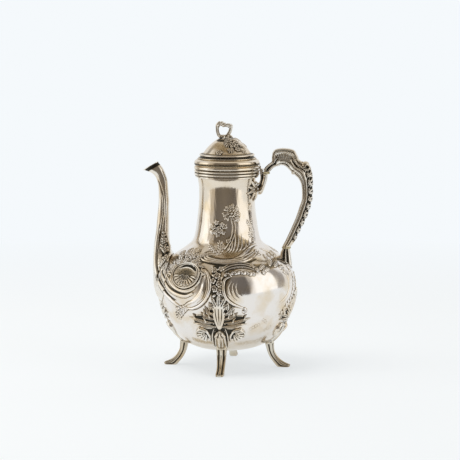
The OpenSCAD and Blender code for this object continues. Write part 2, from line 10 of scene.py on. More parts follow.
import bpy
import numpy as np
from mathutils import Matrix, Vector


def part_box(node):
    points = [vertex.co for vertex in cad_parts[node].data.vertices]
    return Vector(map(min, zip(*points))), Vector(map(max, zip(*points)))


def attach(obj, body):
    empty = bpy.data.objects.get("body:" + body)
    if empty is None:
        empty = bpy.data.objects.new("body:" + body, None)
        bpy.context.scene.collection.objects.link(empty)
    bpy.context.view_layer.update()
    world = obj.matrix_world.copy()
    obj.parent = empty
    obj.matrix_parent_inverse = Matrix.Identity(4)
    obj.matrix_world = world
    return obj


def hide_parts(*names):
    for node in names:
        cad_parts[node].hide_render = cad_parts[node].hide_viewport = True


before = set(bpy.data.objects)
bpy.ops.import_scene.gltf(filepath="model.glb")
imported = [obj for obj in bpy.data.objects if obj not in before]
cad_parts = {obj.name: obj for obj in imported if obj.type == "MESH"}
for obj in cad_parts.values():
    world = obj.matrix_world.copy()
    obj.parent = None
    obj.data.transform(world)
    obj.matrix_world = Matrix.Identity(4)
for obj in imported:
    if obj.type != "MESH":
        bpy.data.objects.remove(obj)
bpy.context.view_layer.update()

MM = 0.001
FINE = 1.0    # scales the number of points in every mesh


def corners(node):
    """Lowest and highest corner of a CAD node, in millimetres."""
    low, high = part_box(node)
    return np.array(low) / MM, np.array(high) / MM


# ---------------------------------------------------------------- curves


def smooth(points, steps):
    """Smooth curve through the given points, with steps between neighbours."""
    points = np.asarray(points, float)
    before = np.vstack([points[:1], points[:-2]])[:, None]
    start = points[:-1][:, None]
    end = points[1:][:, None]
    after = np.vstack([points[2:], points[-1:]])[:, None]
    t = np.linspace(0, 1, steps, endpoint=False)[None, :, None]
    square = (2 * before - 5 * start + 4 * end - after) * t**2
    cube = (3 * start - before - 3 * end + after) * t**3
    curve = (2 * start + (end - before) * t + square + cube) / 2
    return np.vstack([curve.reshape(-1, points.shape[1]), points[-1:]])


def run_along(points):
    """Distance along a line of points, at each point."""
    steps = np.linalg.norm(np.diff(points, axis=0), axis=1)
    return np.concatenate([[0], np.cumsum(steps)])


def ease(x, low, high):
    """0 below low, 1 above high, smooth in between."""
    t = np.clip((x - low) / (high - low), 0, 1)
    return t * t * (3 - 2 * t)


class Outline:
    """A profile of [radius, height] points that is turned about the pot's axis."""

    def __init__(self, points, steps=12):
        self.line = smooth(points, steps)
        self.run = run_along(self.line)
        self.length = self.run[-1]
        along = np.gradient(self.line, self.run, axis=0)
        along /= np.linalg.norm(along, axis=1)[:, None]
        self.normal = np.stack([along[:, 1], -along[:, 0]], -1)

    def radius(self, run):
        """Radius at a distance along the profile."""
        return np.interp(run, self.run, self.line[:, 0])

    def height(self, run):
        """Height at a distance along the profile."""
        return np.interp(run, self.run, self.line[:, 1])

    def run_at(self, height):
        """Distance along the profile at a height."""
        return float(np.interp(height, self.line[:, 1], self.run))

    def skin(self, angle, run, rise):
        """Points over the surface, at an angle about the axis, a distance along the profile and a rise."""
        out = np.interp(run, self.run, self.normal[:, 0])
        up = np.interp(run, self.run, self.normal[:, 1])
        r = self.radius(run) + rise * out
        z = self.height(run) + rise * up
        turn = np.radians(angle)
        return np.stack(np.broadcast_arrays(r * np.cos(turn), r * np.sin(turn), z), -1)


# ---------------------------------------------------------------- ornament


class Relief:
    """A height map of chased or cast ornament over a patch of surface.

    A place is (across, along). Along is in millimetres. One step across is unit millimetres wide, which
    may change along the patch. Up and down hold the ridges and the grooves, and dark the darkening of the
    colour, which is patina and painted shade between and under the ornament.
    """

    def __init__(self, across, along, cells, unit=None):
        self.across = np.linspace(*across, cells[0])
        self.along = np.linspace(*along, cells[1])
        self.start = np.array([across[0], along[0]], float)
        self.cell = (np.array([across[1], along[1]]) - self.start) / (np.array(cells) - 1)
        self.unit = unit or (lambda run: 1.0)
        self.up, self.down, self.dark = np.zeros((3, cells[1], cells[0]))

    def window(self, place, half):
        """Index ranges of the cells within half a width of a place."""
        reach = np.array([half / self.unit(place[1]), half])
        low = np.floor((np.array(place) - reach - self.start) / self.cell).astype(int)
        high = np.ceil((np.array(place) + reach - self.start) / self.cell).astype(int) + 1
        low = np.clip(low, 0, self.up.shape[::-1])
        high = np.clip(high, 0, self.up.shape[::-1])
        return slice(low[1], high[1]), slice(low[0], high[0])

    def dot(self, place, half, high, power=0.7, field=None):
        """A dome of half width half and height high."""
        rows, columns = self.window(place, half)
        x = (self.across[columns] - place[0]) * self.unit(place[1])
        y = self.along[rows] - place[1]
        near = 1 - (x[None, :] ** 2 + y[:, None] ** 2) / half**2
        target = self.up if field is None else field
        patch = target[rows, columns]
        np.maximum(patch, high * np.clip(near, 0, 1) ** power, out=patch)

    def track(self, points, gap):
        """Evenly spaced places along a smooth line through the given places."""
        line = smooth(points, 12) if len(points) > 2 else np.asarray(points, float)
        middle = (line[1:, 1] + line[:-1, 1]) / 2
        step = np.diff(line, axis=0) * np.stack([[self.unit(m) for m in middle], np.ones(len(middle))], -1)
        run = np.concatenate([[0], np.cumsum(np.linalg.norm(step, axis=1))])
        count = max(2, int(run[-1] / gap) + 1)
        even = np.linspace(0, run[-1], count)
        return np.stack([np.interp(even, run, line[:, 0]), np.interp(even, run, line[:, 1])], -1)

    def ridge(self, points, half, high, shape=(1,), power=0.7, field=None):
        """A rounded ridge along a line. Shape scales its width and height from start to end."""
        line = self.track(points, max(0.2, 0.22 * half))
        share = np.interp(np.linspace(0, 1, len(line)), np.linspace(0, 1, len(shape)), shape)
        for place, k in zip(line, share):
            self.dot(place, half * max(k, 0.05), high * k, power, field)

    def groove(self, points, half, deep, shape=(1,)):
        """A round groove along a line."""
        self.ridge(points, half, deep, shape, 1.0, self.down)

    def shade(self, points, half, level, shape=(1,)):
        """Painted shade and patina along a line, as a darkening from 0 to 1."""
        self.ridge(points, half, level, shape, 0.4, self.dark)

    def away(self, place, distance, angle):
        """The place at a distance in millimetres and a direction from another."""
        turn = math.radians(angle)
        across = distance * math.cos(turn) / self.unit(place[1])
        return (place[0] + across, place[1] + distance * math.sin(turn))

    def curl(self, place, radius, start, turn, half, high):
        """A volute that winds in from its rim to a boss at place."""
        steps = np.linspace(0, 1, 14)
        line = [self.away(place, radius * (1 - 0.75 * t), start + turn * t) for t in steps]
        self.ridge(line, half, high, (1, 0.8, 0.7))
        self.dot(place, 1.2 * half, 1.1 * high)

    def flower(self, place, radius, petals, high, turn=0):
        """A small open flower with a boss in its middle."""
        width = radius * math.sin(math.pi / petals) * 0.85
        for k in range(petals):
            angle = turn + 360 * k / petals
            ends = [self.away(place, 0.35 * radius, angle), self.away(place, radius - 0.7 * width, angle)]
            self.ridge(ends, width, high, (0.7, 1), 0.5)
        self.dot(place, 0.36 * radius, 1.25 * high, 0.5)

    def heading(self, line, share, ahead=2):
        """The place at a share of a line, and the line's direction there."""
        last = len(line) - 1
        index = int(share * last)
        step = (line[min(index + ahead, last)] - line[index]) * [self.unit(line[index][1]), 1]
        return line[index], math.degrees(math.atan2(step[1], step[0]))

    def leaf(self, points, half, high, lobes=4):
        """A pointed leaf with lobes along both sides of a grooved midrib."""
        line = self.track(points, 0.5)
        for k in range(lobes):
            t = (k + 0.4) / lobes
            place, angle = self.heading(line, t)
            wide = half * math.sin(math.pi * (0.25 + 0.65 * t))
            for side in (-1, 1):
                tip = self.away(place, 1.25 * wide, angle + side * 52)
                self.ridge([place, tip], 0.42 * wide, high * 0.9, (0.8, 1, 0.5))
        middle = line[:: max(1, (len(line) - 1) // 8)]
        self.ridge(middle, 0.5 * half, high, (0.7, 1, 0.4))
        self.groove(middle, 0.16 * half, 0.35 * high, (1, 1, 0.3))

    def acanthus(self, points, half, high, lobes):
        """A leaf of pointed lobes that lie forward, with dark cuts between them."""
        swing = 38
        line = self.track(points, 0.4)
        for k in range(lobes):
            t = 0.9 * k / lobes
            place, angle = self.heading(line, t, 3)
            reach = 1.9 * half * math.sin(math.pi * (0.3 + 0.62 * t))
            for side in (-1, 1):
                bend = self.away(place, 0.6 * reach, angle + side * (swing + 12))
                tip = self.away(place, 1.15 * reach, angle + side * swing)
                self.ridge([place, bend, tip], 0.30 * reach, high * 0.85, (0.7, 1, 0.35))
                notch = self.away(place, 0.25 * reach, angle + side * (swing + 34))
                end = self.away(place, 0.9 * reach, angle + side * (swing + 24))
                self.groove([notch, end], 0.11 * reach, 0.55 * high, (0.6, 1))
        middle = line[:: max(1, (len(line) - 1) // 8)]
        self.ridge(middle, 0.45 * half, high, (0.8, 1, 0.35))
        self.groove(middle, 0.14 * half, 0.5 * high, (1, 1, 0.3))

    def blade(self, points, half, high):
        """A plain pointed leaf or stroke."""
        self.ridge(points, half, high, (0.35, 0.9, 1, 0.75, 0.3, 0.1))

    def shell(self, place, inner, outer, start, end, flutes, high):
        """Flutes that open like a fan from a place."""
        step = (end - start) / (flutes - 1)
        half = outer * math.sin(math.radians(abs(step)) / 2) * 0.92
        for k in range(flutes):
            angle = start + step * k
            ends = [self.away(place, inner, angle), self.away(place, outer - 0.8 * half, angle)]
            self.ridge(ends, half, high, (0.45, 0.75, 1), 0.6)

    def at(self, across, along, field=None):
        """Height at any places, or another field's value there. It is 0 outside the patch."""
        x = (across - self.start[0]) / self.cell[0]
        y = (along - self.start[1]) / self.cell[1]
        rows, columns = self.up.shape
        inside = (x >= 0) & (y >= 0) & (x <= columns - 1) & (y <= rows - 1)
        x = np.clip(x, 0, columns - 1.001)
        y = np.clip(y, 0, rows - 1.001)
        i, j = y.astype(int), x.astype(int)
        fy, fx = y - i, x - j
        field = self.up - self.down if field is None else field
        low = field[i, j] * (1 - fx) + field[i, j + 1] * fx
        high = field[i + 1, j] * (1 - fx) + field[i + 1, j + 1] * fx
        return np.where(inside, low * (1 - fy) + high * fy, 0)


# ---------------------------------------------------------------- meshes

INSIDE_PATINA_AND_SHADE = 0.5       # patina and painted shade of the inner sides of turned pieces
STRAND_ROUND = np.linspace(0, 2 * np.pi, 40, endpoint=False)    # where a strand's points lie round it
STRAND_FLUTES = 5        # grooves along a strand


def smoothed(points, ends, radius, edge):
    """Points averaged with their neighbours, over about a radius."""
    a, b = ends
    count = len(points)
    degree = np.maximum(np.bincount(a, minlength=count) + np.bincount(b, minlength=count), 1)
    level = points.copy()
    for _ in range(int(np.clip((radius / edge) ** 2, 1, 60))):
        for axis in range(3):
            value = level[:, axis]
            total = np.bincount(a, value[b], count) + np.bincount(b, value[a], count)
            level[:, axis] = 0.5 * value + 0.5 * total / degree
    return level


# How recesses are found: [radius, the depth that counts as full, share], in millimetres.
RECESSES = [(0.9, 0.16, 0.6), (2.4, 0.5, 0.6)]


def mark_recesses(mesh, darkening):
    """Stores how deep each point lies, from -1 on crests to 1 in pits, raised further by its darkening.

    The metal paints deep points dark, as patina and as painted shade in the hollows.
    """
    count = len(mesh.vertices)
    co = np.zeros(count * 3)
    mesh.vertices.foreach_get("co", co)
    co = co.reshape(-1, 3) / MM
    normal = np.zeros(count * 3)
    mesh.vertex_normals.foreach_get("vector", normal)
    normal = normal.reshape(-1, 3)
    ends = np.zeros(len(mesh.edges) * 2, int)
    mesh.edges.foreach_get("vertices", ends)
    ends = ends.reshape(-1, 2).T
    edge = float(np.median(np.linalg.norm(co[ends[0]] - co[ends[1]], axis=1)))
    level = 0
    for radius, depth, share in RECESSES:
        sunk = np.einsum("ij,ij->i", smoothed(co, ends, radius, edge) - co, normal) / depth
        level = level + share * np.clip(sunk, -1, 1)
    level = np.clip(level, -1, 1)
    # patina and painted shade: the given darkening is added wherever the point is no crest
    level = level + (1 - level) * darkening * ease(level, -0.9, 0.1)
    layer = mesh.attributes.new("recess", "FLOAT", "POINT")
    layer.data.foreach_set("value", level.astype(np.float32))


def add_piece(name, points, faces, body, finish, nodes, darkening):
    """Makes a piece from points in millimetres and face arrays, and ties it to the frame.

    The last argument is the darkening of each point, from 0 to 1: patina and painted shade.
    """
    mesh = bpy.data.meshes.new(name)
    mesh.vertices.add(len(points))
    mesh.vertices.foreach_set("co", (np.asarray(points) * MM).astype(np.float32).ravel())
    faces = [np.asarray(f, int) for f in faces if len(f)]
    mesh.loops.add(sum(f.size for f in faces))
    mesh.loops.foreach_set("vertex_index", np.concatenate([f.ravel() for f in faces]).astype(np.int32))
    sizes = np.concatenate([np.full(len(f), f.shape[1]) for f in faces])
    mesh.polygons.add(len(sizes))
    starts = np.concatenate([[0], np.cumsum(sizes)[:-1]])
    mesh.polygons.foreach_set("loop_start", starts.astype(np.int32))
    mesh.polygons.foreach_set("use_smooth", np.ones(len(sizes), bool))
    mesh.update(calc_edges=True)
    mesh.validate()
    mark_recesses(mesh, darkening)
    mesh.materials.append(finish)
    piece = bpy.data.objects.new(name, mesh)
    bpy.context.scene.collection.objects.link(piece)
    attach(piece, body)
    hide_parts(*nodes)


def wrapped(rows, columns, first=0):
    """Faces of a grid of rows whose columns close on themselves."""
    i, j = np.meshgrid(np.arange(rows - 1), np.arange(columns), indexing="ij")
    k = (j + 1) % columns
    low, high = first + i * columns, first + (i + 1) * columns
    return np.stack([low + j, low + k, high + k, high + j], -1).reshape(-1, 4)


def fan(centre, ring, flip):
    """Triangles from a centre point to a closed ring of points."""
    after = np.roll(ring, -1)
    pair = (after, ring) if flip else (ring, after)
    return np.stack([np.full(len(ring), centre), *pair], -1)


def normals(grid):
    """Normals of a grid whose columns close on themselves."""
    along = np.gradient(grid, axis=0)
    across = (np.roll(grid, -1, 1) - np.roll(grid, 1, 1)) / 2
    normal = np.cross(across, along)
    return normal / np.maximum(np.linalg.norm(normal, axis=2), 1e-9)[..., None]


def lifted(grid, rise):
    """A grid of points moved out along its own normals."""
    return grid + rise[..., None] * normals(grid)


def add_tubes(name, grids, darkenings, body, finish, nodes):
    """A piece of closed tubes, each made of cross-sections that follow each other, with its darkening.

    The darkening is patina and painted shade.
    """
    points, faces, darkening, first = [], [], [], 0
    for grid, dark in zip(grids, darkenings):
        rows, columns = grid.shape[:2]
        total = rows * columns
        points.append(np.vstack([grid.reshape(-1, 3), grid[0].mean(0), grid[-1].mean(0)]))
        darkening.append(np.append(np.broadcast_to(dark, (rows, columns)), [0, 0]))
        faces.append(wrapped(rows, columns, first))
        faces.append(fan(first + total, first + np.arange(columns), True))
        faces.append(fan(first + total + 1, first + total - columns + np.arange(columns), False))
        first += total + 2
    add_piece(name, np.vstack(points), faces, body, finish, nodes, np.concatenate(darkening))


def add_loop(name, grid, darkening, body, finish, nodes):
    """A closed piece from cross-sections that come back to the first, such as a turned ring."""
    rows, columns = grid.shape[:2]
    closing = wrapped(2, columns)
    closing = np.where(closing < columns, closing + (rows - 1) * columns, closing - columns)
    faces = [wrapped(rows, columns), closing]
    add_piece(name, grid.reshape(-1, 3), faces, body, finish, nodes, darkening)


def skin_grid(outline, first, rows, columns):
    """The angles round an outline, and every point's turn and distance along the profile."""
    angle = np.arange(columns) * 360 / columns
    turns, runs = np.meshgrid(np.abs(angle - 180), np.linspace(first, outline.length, rows))
    return angle[None, :], turns, runs


def turned(name, outline, inner, body, finish, nodes, base, patina_and_shade, relief=None):
    """A piece turned about the axis: its outer outline with a relief, and the line of its inner side.

    The outline's darkening, as [height above the base, amount] points, is patina and painted shade in the
    grooves between its beads and steps.
    """
    columns = int(720 * FINE)
    angle, turns, runs = skin_grid(outline, 0, int(outline.length / 0.16 * FINE) + 2, columns)
    heights, amounts = np.transpose(patina_and_shade)
    dark = np.interp(outline.height(runs), base + heights, amounts)
    rise = 0 * turns
    if relief:
        rise = relief.at(turns, runs)
        dark = np.maximum(dark, relief.at(turns, runs, relief.dark))
    outer = outline.skin(angle, runs, rise)
    radii, levels = np.array(inner, float).T[:, :, None]
    around = np.radians(angle)
    inside = np.broadcast_arrays(radii * np.cos(around), radii * np.sin(around), levels)
    darkening = np.append(dark, np.full(len(inner) * columns, INSIDE_PATINA_AND_SHADE))
    add_loop(name, np.concatenate([outer, np.stack(inside, -1)]), darkening, body, finish, nodes)


def strand(points, halves, flat=1.0):
    """Cross-sections of a fluted strip along [x, y, z] points that lie near the pot's middle plane."""
    line = smooth(points, 10)
    half = np.interp(np.linspace(0, 1, len(line)), np.linspace(0, 1, len(halves)), halves)[:, None, None]
    along = np.gradient(line, axis=0)
    side = np.cross([0.0, 1.0, 0.0], along)
    side /= np.linalg.norm(side, axis=1)[:, None]
    t = STRAND_ROUND[None, :, None]
    half = half * (1 + 0.10 * np.cos(STRAND_FLUTES * t))
    return line[:, None] + half * (side[:, None] * np.cos(t) + flat * np.array([0, 1, 0]) * np.sin(t))


def furrow(across, marks):
    """Sum of round ridges and grooves, as [middle, half width, rise] marks, at places across a strip."""
    return sum(rise * np.clip(1 - ((across - middle) / half) ** 2, 0, 1) for middle, half, rise in marks)


def section_grid(line, columns, squareness):
    """Cross-sections along the pot's middle plane, and each column's place in its section.

    A row of the line is [outer x, outer z, inner x, inner z, half width]. Place u goes from the outer side at
    -1 to the inner side at 1, and v from one flank to the other.
    """
    angle = np.linspace(0, 2 * np.pi, columns, endpoint=False)
    u = np.sign(np.cos(angle)) * np.abs(np.cos(angle)) ** (2 / squareness)
    v = np.sign(np.sin(angle)) * np.abs(np.sin(angle)) ** (2 / squareness)
    share = (1 + u) / 2
    x = line[:, 0:1] * (1 - share) + line[:, 2:3] * share
    z = line[:, 1:2] * (1 - share) + line[:, 3:4] * share
    y = line[:, 4:5] * v
    return np.stack(np.broadcast_arrays(x, y, z), -1), u, v


# ---------------------------------------------------------------- materials


class Nodes:
    """Short ways to build a node tree. A value may be a number, a colour or another node's output."""

    def __init__(self, tree):
        self.tree = tree
        tree.nodes.clear()

    def new(self, kind, **inputs):
        """A node of a kind. Inputs are named as in Blender, with _ for a space."""
        node = self.tree.nodes.new(kind)
        for name, value in inputs.items():
            self.set(node.inputs[name.replace("_", " ")], value)
        return node

    def set(self, socket, value):
        """Links or sets a socket."""
        if isinstance(value, bpy.types.NodeSocket):
            self.tree.links.new(value, socket)
        else:
            socket.default_value = value

    def math(self, operation, first, second, clamp=False):
        """The result of a sum on two values."""
        node = self.tree.nodes.new("ShaderNodeMath")
        node.operation = operation
        node.use_clamp = clamp
        self.set(node.inputs[0], first)
        self.set(node.inputs[1], second)
        return node.outputs[0]

    def spread(self, value, low, high, to_low=0.0, to_high=1.0):
        """A value mapped from one range to another, and held at its ends."""
        node = self.new("ShaderNodeMapRange", Value=value, From_Min=low, From_Max=high, To_Min=to_low,
                        To_Max=to_high)
        return node.outputs["Result"]

    def mix(self, share, first, second, blend="MIX"):
        """A mix of two colours, with share of the second."""
        node = self.tree.nodes.new("ShaderNodeMix")
        node.data_type = "RGBA"
        node.blend_type = blend
        self.set(node.inputs[0], share)
        self.set(node.inputs[6], first)
        self.set(node.inputs[7], second)
        return node.outputs[2]

    def noise(self, place, scale, detail=3.0):
        """A soft noise, from 0 to 1."""
        return self.new("ShaderNodeTexNoise", Vector=place, Scale=scale, Detail=detail).outputs["Fac"]


def blank(name):
    """A material without nodes, a way to build them, and the object's own coordinates."""
    material = bpy.data.materials.new(name)
    material.use_nodes = True
    n = Nodes(material.node_tree)
    return material, n, n.new("ShaderNodeTexCoord").outputs["Object"]


GRAIN = 900.0            # scales of the textures, to the metre
PATCHES = 55.0
SCRATCHES = 1500.0
OLD_NECK = (0.120, 0.190)    # heights in metres between which the aged tone comes in
OLD_BASE = (0.044, 0.022)


def metal(name, clean, warm, shine, pit_patina_and_shade, aged=0.0):
    """Old silver: bright on the crests, warm in patches, and dark in the recesses with patina and painted
    shade.

    Aged adds the warm tone to the neck, the lid and the underside of the belly.
    """
    material, n, place = blank(name)
    recess = n.new("ShaderNodeAttribute")
    recess.attribute_name = "recess"
    grain = n.noise(place, GRAIN)
    patches = n.noise(place, PATCHES, 4.0)
    pit = n.math("ADD", recess.outputs["Fac"], n.spread(grain, 0.3, 0.7, -0.12, 0.12))
    pit = n.math("MULTIPLY", n.spread(pit, 0.12, 0.85), pit_patina_and_shade, clamp=True)
    bloom = n.spread(patches, 0.42, 0.72)
    height = n.new("ShaderNodeSeparateXYZ", Vector=place).outputs["Z"]
    old = n.math("MAXIMUM", n.spread(height, *OLD_NECK), n.spread(height, *OLD_BASE))
    old = n.math("MULTIPLY", old, n.spread(patches, 0.25, 0.6, 0.55 * aged, aged))
    bloom = n.math("MAXIMUM", n.math("MULTIPLY", bloom, 0.8), old)
    colour = n.mix(bloom, (*clean, 1), (*warm, 1))
    colour = n.mix(n.spread(pit, 0.0, 0.4, 0.0, 0.9), colour, (*AMBER, 1))
    # painted shade with patina: the deepest recesses go near black
    colour = n.mix(n.spread(pit, 0.3, 0.95), colour, (*DEEP, 1))
    rough = n.math("ADD", n.spread(patches, 0.3, 0.8, shine, shine + 0.1), n.math("MULTIPLY", pit, 0.3))
    scratches = n.noise(place, SCRATCHES, 2.0)
    bump = n.new("ShaderNodeBump", Strength=0.12, Distance=0.00012, Height=scratches)
    shader = n.new("ShaderNodeBsdfPrincipled", Base_Color=colour, Metallic=1.0, Roughness=rough,
                   Normal=bump.outputs["Normal"])
    n.new("ShaderNodeOutputMaterial", Surface=shader.outputs["BSDF"])
    return material


def ivory(name):
    """Yellowed ivory-coloured insulator with fine grain lines."""
    material, n, place = blank(name)
    wave = n.new("ShaderNodeTexWave", Vector=place, Scale=GRAIN, Distortion=3.0, Detail=2.0)
    wave = wave.outputs["Fac"]
    darkening = n.spread(n.noise(place, 300.0), 0.35, 0.7)
    colour = n.mix(darkening, (0.92, 0.84, 0.55, 1), (0.80, 0.66, 0.34, 1))
    colour = n.mix(n.spread(wave, 0.0, 1.0, 0.0, 0.3), colour, (0.94, 0.90, 0.72, 1))
    bump = n.new("ShaderNodeBump", Strength=0.2, Distance=0.0001, Height=wave)
    rough = n.spread(darkening, 0.0, 1.0, 0.32, 0.5)
    shader = n.new("ShaderNodeBsdfPrincipled", Base_Color=colour, Roughness=rough,
                   Normal=bump.outputs["Normal"])
    shader.inputs["Subsurface Weight"].default_value = 0.1
    shader.inputs["Subsurface Radius"].default_value = (0.002, 0.0015, 0.0008)
    n.new("ShaderNodeOutputMaterial", Surface=shader.outputs["BSDF"])
    return material


WARM = (0.74, 0.60, 0.40)
AMBER = (0.50, 0.37, 0.20)
# near black of the deepest recesses: painted shade with patina
DEEP = (0.055, 0.050, 0.040)
SHEET = metal("raised_silver", (0.86, 0.82, 0.78), WARM, 0.10, 1.2, 0.65)
RINGS = metal("turned_silver", (0.92, 0.89, 0.84), WARM, 0.07, 1.2, 0.35)
CAST = metal("cast_silver", (0.84, 0.80, 0.73), (0.72, 0.58, 0.40), 0.14, 1.35)
LEGS = metal("leg_silver", (0.70, 0.65, 0.55), (0.55, 0.41, 0.24), 0.16, 1.3)
IVORY = ivory("old_ivory")

# ---------------------------------------------------------------- body

MOUTH_Z = corners("mouth_ring")[1][2]
RIM_R = corners("mouth_ring")[1][0]
WALL = 1.0
NECK_R = 29.4
MOST_RISE = 2.2          # the chasing never stands higher than this
BODY_START = 0.6         # the mesh starts this far along the profile from the axis
FLARE = 1.5              # the neck opens out this far under the mouth ring
FLARE_HEIGHTS = (186, 202)
HAMMER = 0.02            # height of the waves that the hammer left
BODY_INSIDE = 0.6        # patina and painted shade of the inside
BODY_POINTS = [[0, 18.6], [16, 19.1], [28, 21], [38, 24.2], [46.7, 28.9], [53, 35], [58.6, 42.5],
               [62.8, 50.5], [66.4, 60.5], [69.4, 70.8], [71.5, 80], [72.1, 85.6], [71.7, 92], [70.2, 100.4],
               [66.7, 107.8], [60, 115.7], [54, 120.8], [47.7, 124.7], [42, 129], [36.3, 134.5],
               [33.6, 142.7], [31.9, 153.3], [30.3, 166], [29.5, 176.6], [NECK_R, 187], [NECK_R, 196.6],
               [NECK_R, MOUTH_Z]]
BODY = Outline(BODY_POINTS)

CARTOUCHE_TURN = 126.5   # middle of the cartouche
DRAWN = 1.5              # the ornament's places are drawn as seen from this many degrees nearer the spout
DRAWN_RISE = 1.5         # and this much lower, in millimetres along the skin at the front
DRAWN_DROP = 0.9         # on the spout, how far down a place moves for each millimetre it moves sideways


def body_unit(run):
    """Millimetres for one degree about the body."""
    return max(float(BODY.radius(run)), 3.0) * math.pi / 180


def neck_sprays(r):
    """Chased flower sprays on the neck."""
    r.flower((104, 207), 4.4, 6, 1.2)
    for angle, reach in [(-70, 9), (-20, 9), (25, 9.5), (75, 9), (125, 9), (175, 9), (215, 8)]:
        foot, tip = r.away((104, 207), 4, angle), r.away((104, 207), reach, angle + 16)
        r.acanthus([foot, tip], 1.7, 1.1, 3)
    r.flower((115, 201), 2.8, 5, 1.1)
    for place in [(70, 192), (75, 197), (80, 191), (86, 195), (84, 188), (75, 187)]:
        r.flower(place, 2.4, 5, 1.2, place[0] * 11)
    for angle in (-150, -100, -50, 0, 160, 205):
        r.acanthus([r.away((79, 192), 4.5, angle), r.away((79, 192), 10, angle + 12)], 1.4, 0.9, 3)
    for shift in (0, 4.5):
        stem = [(103, 202), (106, 193), (104, 184), (98, 176), (92, 168)]
        r.ridge([(turn + shift, run) for turn, run in stem], 0.7, 0.9)
    r.flower((91, 171), 2.4, 5, 1.0)
    r.flower((98, 178), 2.2, 5, 1.0)
    for foot, tip in [((94, 164), (98, 180)), ((98, 163), (104, 188)), ((102, 163), (110, 192)),
                      ((106, 163), (117, 190)), ((111, 164), (123, 186)), ((117, 166), (130, 181)),
                      ((124, 169), (137, 182))]:
        middle = ((foot[0] + tip[0]) / 2 + 3, (foot[1] + tip[1]) / 2 - 2)
        r.blade([foot, middle, tip], 1.1, 0.8)
    r.acanthus([(84, 160), (86, 170), (82, 180)], 2.4, 1.0, 5)
    r.acanthus([(80, 163), (71, 170), (64, 175)], 1.9, 1.0, 4)
    r.flower((150, 212), 3.2, 5, 0.9)
    r.flower((146, 190), 3.2, 5, 0.9)
    for tip in [(153, 202), (135, 200), (158, 187), (137, 180), (148, 174)]:
        r.acanthus([(147, 190), tip], 1.5, 0.9, 4)


def shoulder_panel(r):
    """Long C scrolls that frame the shoulder under the neck."""
    for shift, high in [(0, 1.3), (4, 1.0), (8, 0.8)]:
        r.ridge([(76 + shift, 166 - shift * 0.7), (68 + shift, 164 - shift * 0.6), (63 + shift, 157),
                 (70 + shift, 150 + shift * 0.4), (90, 146.5 + shift * 0.55), (110, 148 + shift * 0.6),
                 (126 - shift, 154 + shift * 0.5), (140 - shift, 163)], 1.3, high, (0.5, 1, 1, 0.9, 0.4))
    r.ridge([(98, 151), (112, 157), (124, 165), (136, 170), (150, 172)], 2.4, 1.3, (0.3, 1, 0.9, 0.3))
    r.curl((139, 160), 4.5, 60, 330, 1.1, 1.2)
    r.ridge([(150, 166), (160, 160), (166, 152)], 1.4, 1.1, (0.4, 1, 0.5))
    for k in range(4):
        r.leaf([(142 + 8 * k, 150 + k), (146 + 8 * k, 157 + k)], 2.4, 1.2, 3)
    r.leaf([(60, 152), (54, 160), (48, 163)], 3.0, 1.4)


def flower_fall(r):
    """Flowers and leaves that hang between the spout scroll and the cartouche."""
    for place, radius in [((84, 138), 3.1), ((90, 139.5), 2.8), ((87, 132), 3.2), ((83.5, 126), 2.8),
                          ((89, 123), 3.2), ((85.5, 117.5), 2.8), ((89, 113.5), 2.4)]:
        r.flower(place, radius, 5, 1.3, place[0] * 7)
    for foot, tip in [((86, 130), (81.5, 133)), ((88, 127), (92.5, 131)), ((86, 121), (81.5, 119)),
                      ((88, 118), (92.5, 116)), ((86, 112), (83, 108.5)), ((88, 137), (93, 143)),
                      ((86, 136), (80, 143))]:
        r.blade([foot, tip], 1.4, 1.1)


def spout_top(r):
    """Flowers and leaves on the shoulder above the medallion."""
    for place, radius in [((38, 150), 3.2), ((46, 154), 3.8), ((55, 152.5), 3.6), ((63, 149), 3.2),
                          ((50, 147), 3.0)]:
        r.flower(place, radius, 5, 2.4, place[0] * 9)
    for points in [[(34, 152), (28, 156), (24, 160)], [(42, 157), (38, 162), (36, 166)],
                   [(50, 158), (52, 162), (58, 164)], [(60, 154), (66, 157), (72, 156)],
                   [(44, 146), (38, 143), (33, 145)], [(58, 146), (64, 144), (70, 145)]]:
        r.acanthus(points, 2.4, 2.2, 4)
    # painted shade on the ground between the flowers
    r.shade([(34, 150), (46, 153), (60, 150), (68, 149)], 5.0, 0.6)


